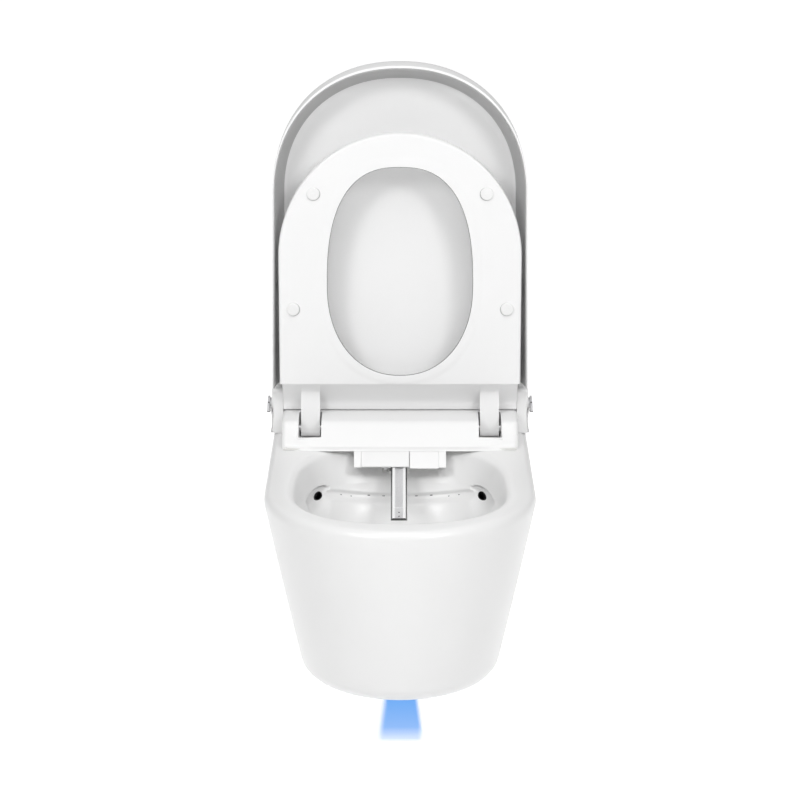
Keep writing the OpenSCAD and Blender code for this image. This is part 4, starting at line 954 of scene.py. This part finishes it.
def front_section():
    """The low front of the housing: a shell whose foot curves back at both ends."""
    def section(x):
        far = abs(x) / HOUSING_HALF
        back = 9.0 * smoothstep((far - 0.72) / 0.28) * far
        foot = -FOOT_Y + back
        pts = [(foot - 1.2, RIM_Z), (foot - 2.0, RIM_Z + 0.1), (foot - 0.7, 81.2), (foot + 0.1, 83.2),
               (foot + 0.9, 86.2)]
        top = (-SLOPE_TOP_Y - 1.6, FRONT_Z - 3.1)
        for i in range(1, 9):
            t = i / 9
            bow = 0.35 * sin(pi * t)
            low = pts[4]
            y, z = low[0] + (top[0] - low[0]) * t, low[1] + (top[1] - low[1]) * t
            pts.append((y - bow * 0.7, z + bow * 0.7))
        pts += [top, (-SLOPE_TOP_Y + 1.2, FRONT_Z - 1.1), (-SLOPE_TOP_Y + 4.2, FRONT_Z - 0.2)]
        pts += [(y, FRONT_Z) for y in (-SLOPE_TOP_Y + 7.5, -150, -120, -100, -85, -72, -63.5)]
        pts += [(-61.2, FRONT_Z + 0.8), (-BLOCK_Y - 0.1, FRONT_Z + 3.2), (-BLOCK_Y, FRONT_Z + 8),
                (-BLOCK_Y, BLOCK_Z - 12), (-BLOCK_Y, BLOCK_Z - 4), (-BLOCK_Y + 0.8, BLOCK_Z - 1.6),
                (-BLOCK_Y + 2.6, BLOCK_Z - 0.3), (-BLOCK_Y + 4.5, BLOCK_Z), (-40, BLOCK_Z),
                (-BACK_Y - 4, BLOCK_Z), (-BACK_Y - 1, BLOCK_Z - 0.8),
                (-BACK_Y, BLOCK_Z - 3), (-BACK_Y, 120), (-BACK_Y, DECK_Z + 1), (-BACK_Y, DECK_Z)]
        return pts

    left = [-HOUSING_HALF, -177.8, -177.2, -176.2, -174.8, -173, -171, -168, -162, -155, -148, -140, -131,
            -121, -110, -95, -78, -60, -40, -20]
    xs = left + [0] + [-x for x in reversed(left)]
    rings = []
    for x in xs:
        part = max(abs(x) - (HOUSING_HALF - END_ROUND), 0) / END_ROUND
        inset = END_ROUND * (1 - (1 - part ** 2) ** 0.5)
        ring = []
        for y, z in section(x):
            up = min(max((z - DECK_Z) / 20, 0), 1)
            ring.append((x, y + inset * (0.8 if y < -BLOCK_Y - 2 else 0), z - inset * 0.5 * up))
        rings.append(ring)
    return rings


def inside_of(rings, thick):
    """The same shell, drawn in by its thickness."""
    inner = []
    for ring in rings:
        x = ring[0][0]
        x = max(min(x, HOUSING_HALF - thick), -HOUSING_HALF + thick)
        drawn = []
        for i, p in enumerate(ring):
            a, b = ring[max(i - 1, 0)], ring[min(i + 1, len(ring) - 1)]
            ty, tz = b[1] - a[1], b[2] - a[2]
            size = hypot(ty, tz) or 1
            at_end = i in (0, len(ring) - 1)
            drawn.append((x, p[1] + tz / size * thick, p[2] if at_end else p[2] - ty / size * thick))
        inner.append(drawn)
    return inner


def housing():
    outer = front_section()
    inner = inside_of(outer, 2.4)
    n, m = len(outer[0]), len(outer)
    verts, faces, base = double_wall(outer, inner)
    for k in range(m - 1):
        for i in (0, n - 1):
            a, b = k * n + i, (k + 1) * n + i
            faces.append((a, b, base + b, base + a))
    # flat ends of the outer and the inner shell
    for k in (0, m - 1):
        faces.append(tuple(k * n + i for i in range(n)))
        faces.append(tuple(base + k * n + i for i in range(n)))
    obj = add_mesh("housing_front", verts, faces, HOUSING, BOWL, "housing_white")
    cutters = []
    for side in (-1, 1):
        low, high = sorted((side * POCKET_IN, side * POCKET_OUT))
        floor = POCKET_FLOOR + 0.3
        cutters.append(prism([(POCKET_FRONT, floor), (POCKET_REAR, floor), (POCKET_REAR, 130),
                              (POCKET_FRONT, 130)], low, high))
    cut(obj, cutters)
    finish_mesh(obj, HOUSING, 28)
    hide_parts("housing_cover")
    for side, name in SIDES:
        arm_pocket("arm_pocket_" + name, side)
    for side, name in SIDES:
        ear("housing_ear_" + name, side)


def slope_height(y):
    """Height of the housing's outer surface at a place along Y."""
    t = (y + FOOT_Y) / (FOOT_Y - SLOPE_TOP_Y)
    return DECK_Z + 4 + (FRONT_Z - DECK_Z - 4) * min(max(t, 0), 1)


def arm_pocket(name, side):
    """The thin-walled box that a seat arm swings in."""
    low, high = sorted((side * POCKET_IN, side * POCKET_OUT))
    y0, y1, floor, t = POCKET_FRONT, POCKET_REAR, POCKET_FLOOR, POCKET_WALL
    top0, top1 = slope_height(y0) - 1.2, FRONT_Z - 1.2
    outer = [(y0 - t, floor - t), (y1 + t, floor - t), (y1 + t, top1), (-SLOPE_TOP_Y, top1), (y0 - t, top0)]
    verts, faces = prism(outer, low - t, high + t)
    obj = add_mesh(name, verts, faces, HOUSING, BOWL, "housing_white")
    cut(obj, [prism([(y0, floor), (y1, floor), (y1, 140), (y0, 140)], low, high)])
    finish_mesh(obj, HOUSING, 30)


def ear(name, side):
    """An upright cheek beside the lid, with a hollow outer side."""
    r = 8.0
    outline = [(-EAR_Y, DECK_Z), (-EAR_Y, 95), (-EAR_Y, 110), (-EAR_Y, 125), (-EAR_Y, 136)]
    turns = [pi / 2 * i / 8 for i in range(9)]
    outline += [(-EAR_Y + r - r * cos(turn), BLOCK_Z - r + r * sin(turn)) for turn in turns]
    outline += [(-70, BLOCK_Z), (-50, BLOCK_Z), (-30, BLOCK_Z), (-BACK_Y, BLOCK_Z), (-BACK_Y, 125),
                (-BACK_Y, 100), (-BACK_Y, DECK_Z), (-40, DECK_Z), (-70, DECK_Z)]
    cx = sum(y for y, z in outline) / len(outline)
    cz = sum(z for y, z in outline) / len(outline)

    def ring(x, inset, dip=0.0):
        out = []
        for y, z in outline:
            d = hypot(y - cx, z - cz)
            yy = y + (cx - y) / d * inset
            zz = z + (cz - z) / d * inset if z > DECK_Z + 1 else z
            hollow = dip * sin(pi * min(max((z - 84) / 60, 0), 1))
            out.append((side * (x - hollow), yy, zz))
        return out

    rings = [ring(EAR_IN - 1.6, 0.0), ring(EAR_IN + 2, 0.0), ring(EAR_OUT - 3, 0, 1.2),
             ring(EAR_OUT - 1.4, 0.5, 1.6), ring(EAR_OUT - 0.4, 1.5, 1.8)]
    rings += [ring(EAR_OUT, inset, 1.8) for inset in (3.2, 8, 18)]
    verts, faces = capped(rings)
    obj = add_mesh(name, verts, faces, HOUSING, BOWL, "housing_white", 40)
    inside = [(-EAR_Y + 2.6, DECK_Z + 3), (-BACK_Y - 3, DECK_Z + 3), (-BACK_Y - 3, BLOCK_Z - 3),
              (-70, BLOCK_Z - 3), (-EAR_Y + 6, BLOCK_Z - 4), (-EAR_Y + 2.6, BLOCK_Z - 9)]
    hollow = prism(inside, *sorted((side * 182.4, side * 191.8)))
    stem_hole = rod((side * 170, KNOB_Y, KNOB_Z), (side * 200, KNOB_Y, KNOB_Z), 10.6, 48)
    lid_hole = rod((side * 176, LID_AXIS.y, LID_AXIS.z), (side * 184, LID_AXIS.y, LID_AXIS.z), 5.3, 32)
    cut(obj, [hollow, stem_hole, lid_hole])
    finish_mesh(obj, HOUSING, 35)


housing()


# ---------- wand, flaps and port ----------

WAND_AIM = Vector((0, -cos(WAND_DIP), -sin(WAND_DIP)))
# Distances from the wand's middle to the lines between its grey strip, its painted highlight strips and its
# painted-shade edges.
WAND_LINES = (5.9, 9.9)
# Distances of the spray openings along the wand.
SPRAY_AT = (113.3, 122.8)
FLAP_EDGE = 57.75


def lift_low(where, height):
    """A change to a copy's points: those whose X and Y pass a test rise to at least a height."""
    def change(bm):
        for vert in bm.verts:
            x, y, z = vert.co / MM
            if where(x, y) and z < height:
                vert.co.z = height * MM
    return change


def widen(bm):
    """Flap panels reach their cheeks."""
    for vert in bm.verts:
        if abs(vert.co.x) / MM > FLAP_EDGE - 0.55:
            vert.co.x = (FLAP_EDGE if vert.co.x > 0 else -FLAP_EDGE) * MM


def paint_wand_light(obj, front=None):
    """Wand faces: grey middle strip, painted highlight strips beside it, painted shade on the rounded edges
    and on the tip past front.
    """
    bm = bmesh.new()
    bm.from_mesh(obj.data)
    for x in WAND_LINES:
        for side in (-1, 1):
            bmesh.ops.bisect_plane(bm, geom=bm.verts[:] + bm.edges[:] + bm.faces[:], dist=0.00001,
                                   plane_co=((WAND_X + side * x) * MM, 0, 0), plane_no=(1, 0, 0))
    for face in bm.faces:
        across = abs(face.calc_center_median().x / MM - WAND_X)
        along = (face.calc_center_median() / MM).dot(WAND_AIM)
        if (across > WAND_LINES[1] and face.normal.z > 0.2) or (front and along > front):
            face.material_index = 2
        elif WAND_LINES[0] < across < WAND_LINES[1]:
            face.material_index = 1
    bm.to_mesh(obj.data)
    bm.free()
    obj.data.materials.append(WAND_HIGHLIGHT)
    obj.data.materials.append(WAND_SHADE)


for node, name, width, shortest, bend in (
        ("nozzle_wand", "wand_tube", 2.0, 6, None), ("nozzle_head", "wand_head", 2.0, 5, None),
        ("nozzle_flap", "flap_left", 0.5, 8, widen), ("dryer_flap", "flap_right", 0.5, 8, widen),
        ("port_frame", "port_cheeks", 1.6, 5, lift_low(lambda x, y: abs(x) > 57 and y < -205, 59.4)),
        ("wand_guide", "wand_sleeve", 0.8, 8, None)):
    obj = rounded_copy(node, name, width, shortest, bend=bend)
    if node == "port_frame":
        # below the flaps only the wand shows, so the port plate stops behind them
        cut(obj, [prism([(-230, 30), (-197, 30), (-197, 58.4), (-230, 58.4)], -50, 50)])
        finish_mesh(obj, SLOT_MATERIAL["housing_white"])
    elif node in ("nozzle_wand", "nozzle_head"):
        tip = max((vert.co / MM).dot(WAND_AIM) for vert in obj.data.vertices)
        paint_wand_light(obj, tip - 1.0 if node == "nozzle_head" else None)


def spray_holes():
    """Black discs at the two spray openings near the wand's tip: painted shade for the dark of the openings,
    which are not cut.
    """
    up = Vector((0, WAND_AIM.z, -WAND_AIM.y))
    for i, along in enumerate(SPRAY_AT):
        at = Vector((WAND_X, WAND_Y, WAND_Z)) + WAND_AIM * along + up * WAND_R
        place = Matrix.Translation(at) @ up.to_track_quat("Z", "Y").to_matrix().to_4x4()
        plug = [(0, -1), (1.2, -1), (1.2, 0.02), (1.0, 0.1), (0.7, 0.03), (0, 0.03)]
        turned_piece(f"spray_painted_shade_{i + 1}", plug, place, BLACK, "wand", "black_plastic", 24)


spray_holes()


# ---------- knobs and side trim ----------

# Side trim: height, distance of its middle from the centre.
TRIM_LINE = [(80.6, 196.8), (82, 197.0), (85, 196.4), (90, 195.4), (97, 195.0), (105, 195.1), (111, 195.8),
             (115, 196.8), (117.5, 197.9)]
TRIM_Y, TRIM_DEEP, TRIM_THICK = -93.2, 6.2, 1.3
MARK_ANGLE, SHADE_LINE_ANGLE = radians(25), radians(54)


def knob(side, name):
    """A dial whose lower half stands a little prouder, with a dark mark and a black line under its lower
    front that is painted shade.
    """
    place = Matrix.Translation((side * KNOB_IN, KNOB_Y, KNOB_Z)) @ Matrix.Rotation(radians(90 * side), 4, "Y")
    d = KNOB_DEEP
    profile = [(0, 0.3), (6, 0.3), (6, -4.9), (9.7, -4.9), (9.7, 0), (11.8, 0), (12.6, 0.25), (KNOB_R, 0.7),
               (KNOB_R, 1.2), (12.6, 1.4), (12.6, 1.6), (KNOB_R, 1.8), (KNOB_R, d - 1.2), (12.5, d - 0.5),
               (11.6, d - 0.1), (10.4, d), (9.6, d - 0.4), (5, d - 0.5), (0, d - 0.5)]
    verts, faces = turned(profile, 72)
    leant = []
    for v in moved(verts, place):
        share = max(abs(v.x) - KNOB_IN - 1.8, 0) / (d - 1.8)
        leant.append((v.x - side * KNOB_LEAN * share * (v.z - KNOB_Z) / KNOB_R, v.y, v.z))
    body = "knob_" + name
    obj = add_mesh(body + "_dial", leant, faces, SATIN, body, "chrome", 40)
    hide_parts("knob_cap_" + name)
    ring = [(10.8, -6.4), (13.7, -6.4), (13.7, -2.9), (13.3, -2.4), (11.2, -2.4), (10.8, -2.8), (10.8, -6.4)]
    bezel = turned_piece("knob_bezel_" + name, ring, place, HOUSING, BOWL, "housing_white", 72)
    if name == "left":
        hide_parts("knob_bezels")
    out = Vector((0, -cos(MARK_ANGLE), sin(MARK_ANGLE)))
    dot = [(0, -0.8), (1.15, -0.8), (1.15, 0.15), (0.95, 0.3), (0, 0.32)]
    at = Vector((side * 201.3, KNOB_Y, KNOB_Z)) + out * KNOB_R
    place = Matrix.Translation(at) @ out.to_track_quat("Z", "Y").to_matrix().to_4x4()
    turned_piece(body + "_mark", dot, place, BLACK, body, "black_plastic", 32)
    # painted shade: a black line under the dial's lower front, standing for the shade beneath the dial
    out = Vector((0, -cos(SHADE_LINE_ANGLE), -sin(SHADE_LINE_ANGLE)))
    along = Vector((0, -out.z, out.y))
    at = Vector((0, KNOB_Y, KNOB_Z)) + out * KNOB_R
    line = [at + along * a + out * b for a, b in ((-0.8, -0.6), (0.8, -0.6), (0.8, 0.35), (-0.8, 0.35))]
    low, high = sorted((side * (KNOB_IN + 0.6), side * 204.6))
    rounded_prism(body + "_painted_shade_line", [(v.y, v.z) for v in line], low, high, 0.2, BLACK, body, "black_plastic")


def side_trim(side, name):
    """A slim curved strip down the outer face of the ear."""
    section = ((-1, -0.7), (-0.6, -1), (0.6, -1), (1, -0.7), (1, 0.7), (0.6, 1), (-0.6, 1), (-1, 0.7))
    rings = [[(side * (x + a * TRIM_THICK), TRIM_Y + b * TRIM_DEEP, z) for a, b in section]
             for z, x in TRIM_LINE]
    add_mesh("side_trim_" + name, *capped(rings), TRIM, BOWL, "base_plastic", 50)


for side, name in SIDES:
    knob(side, name)
    side_trim(side, name)
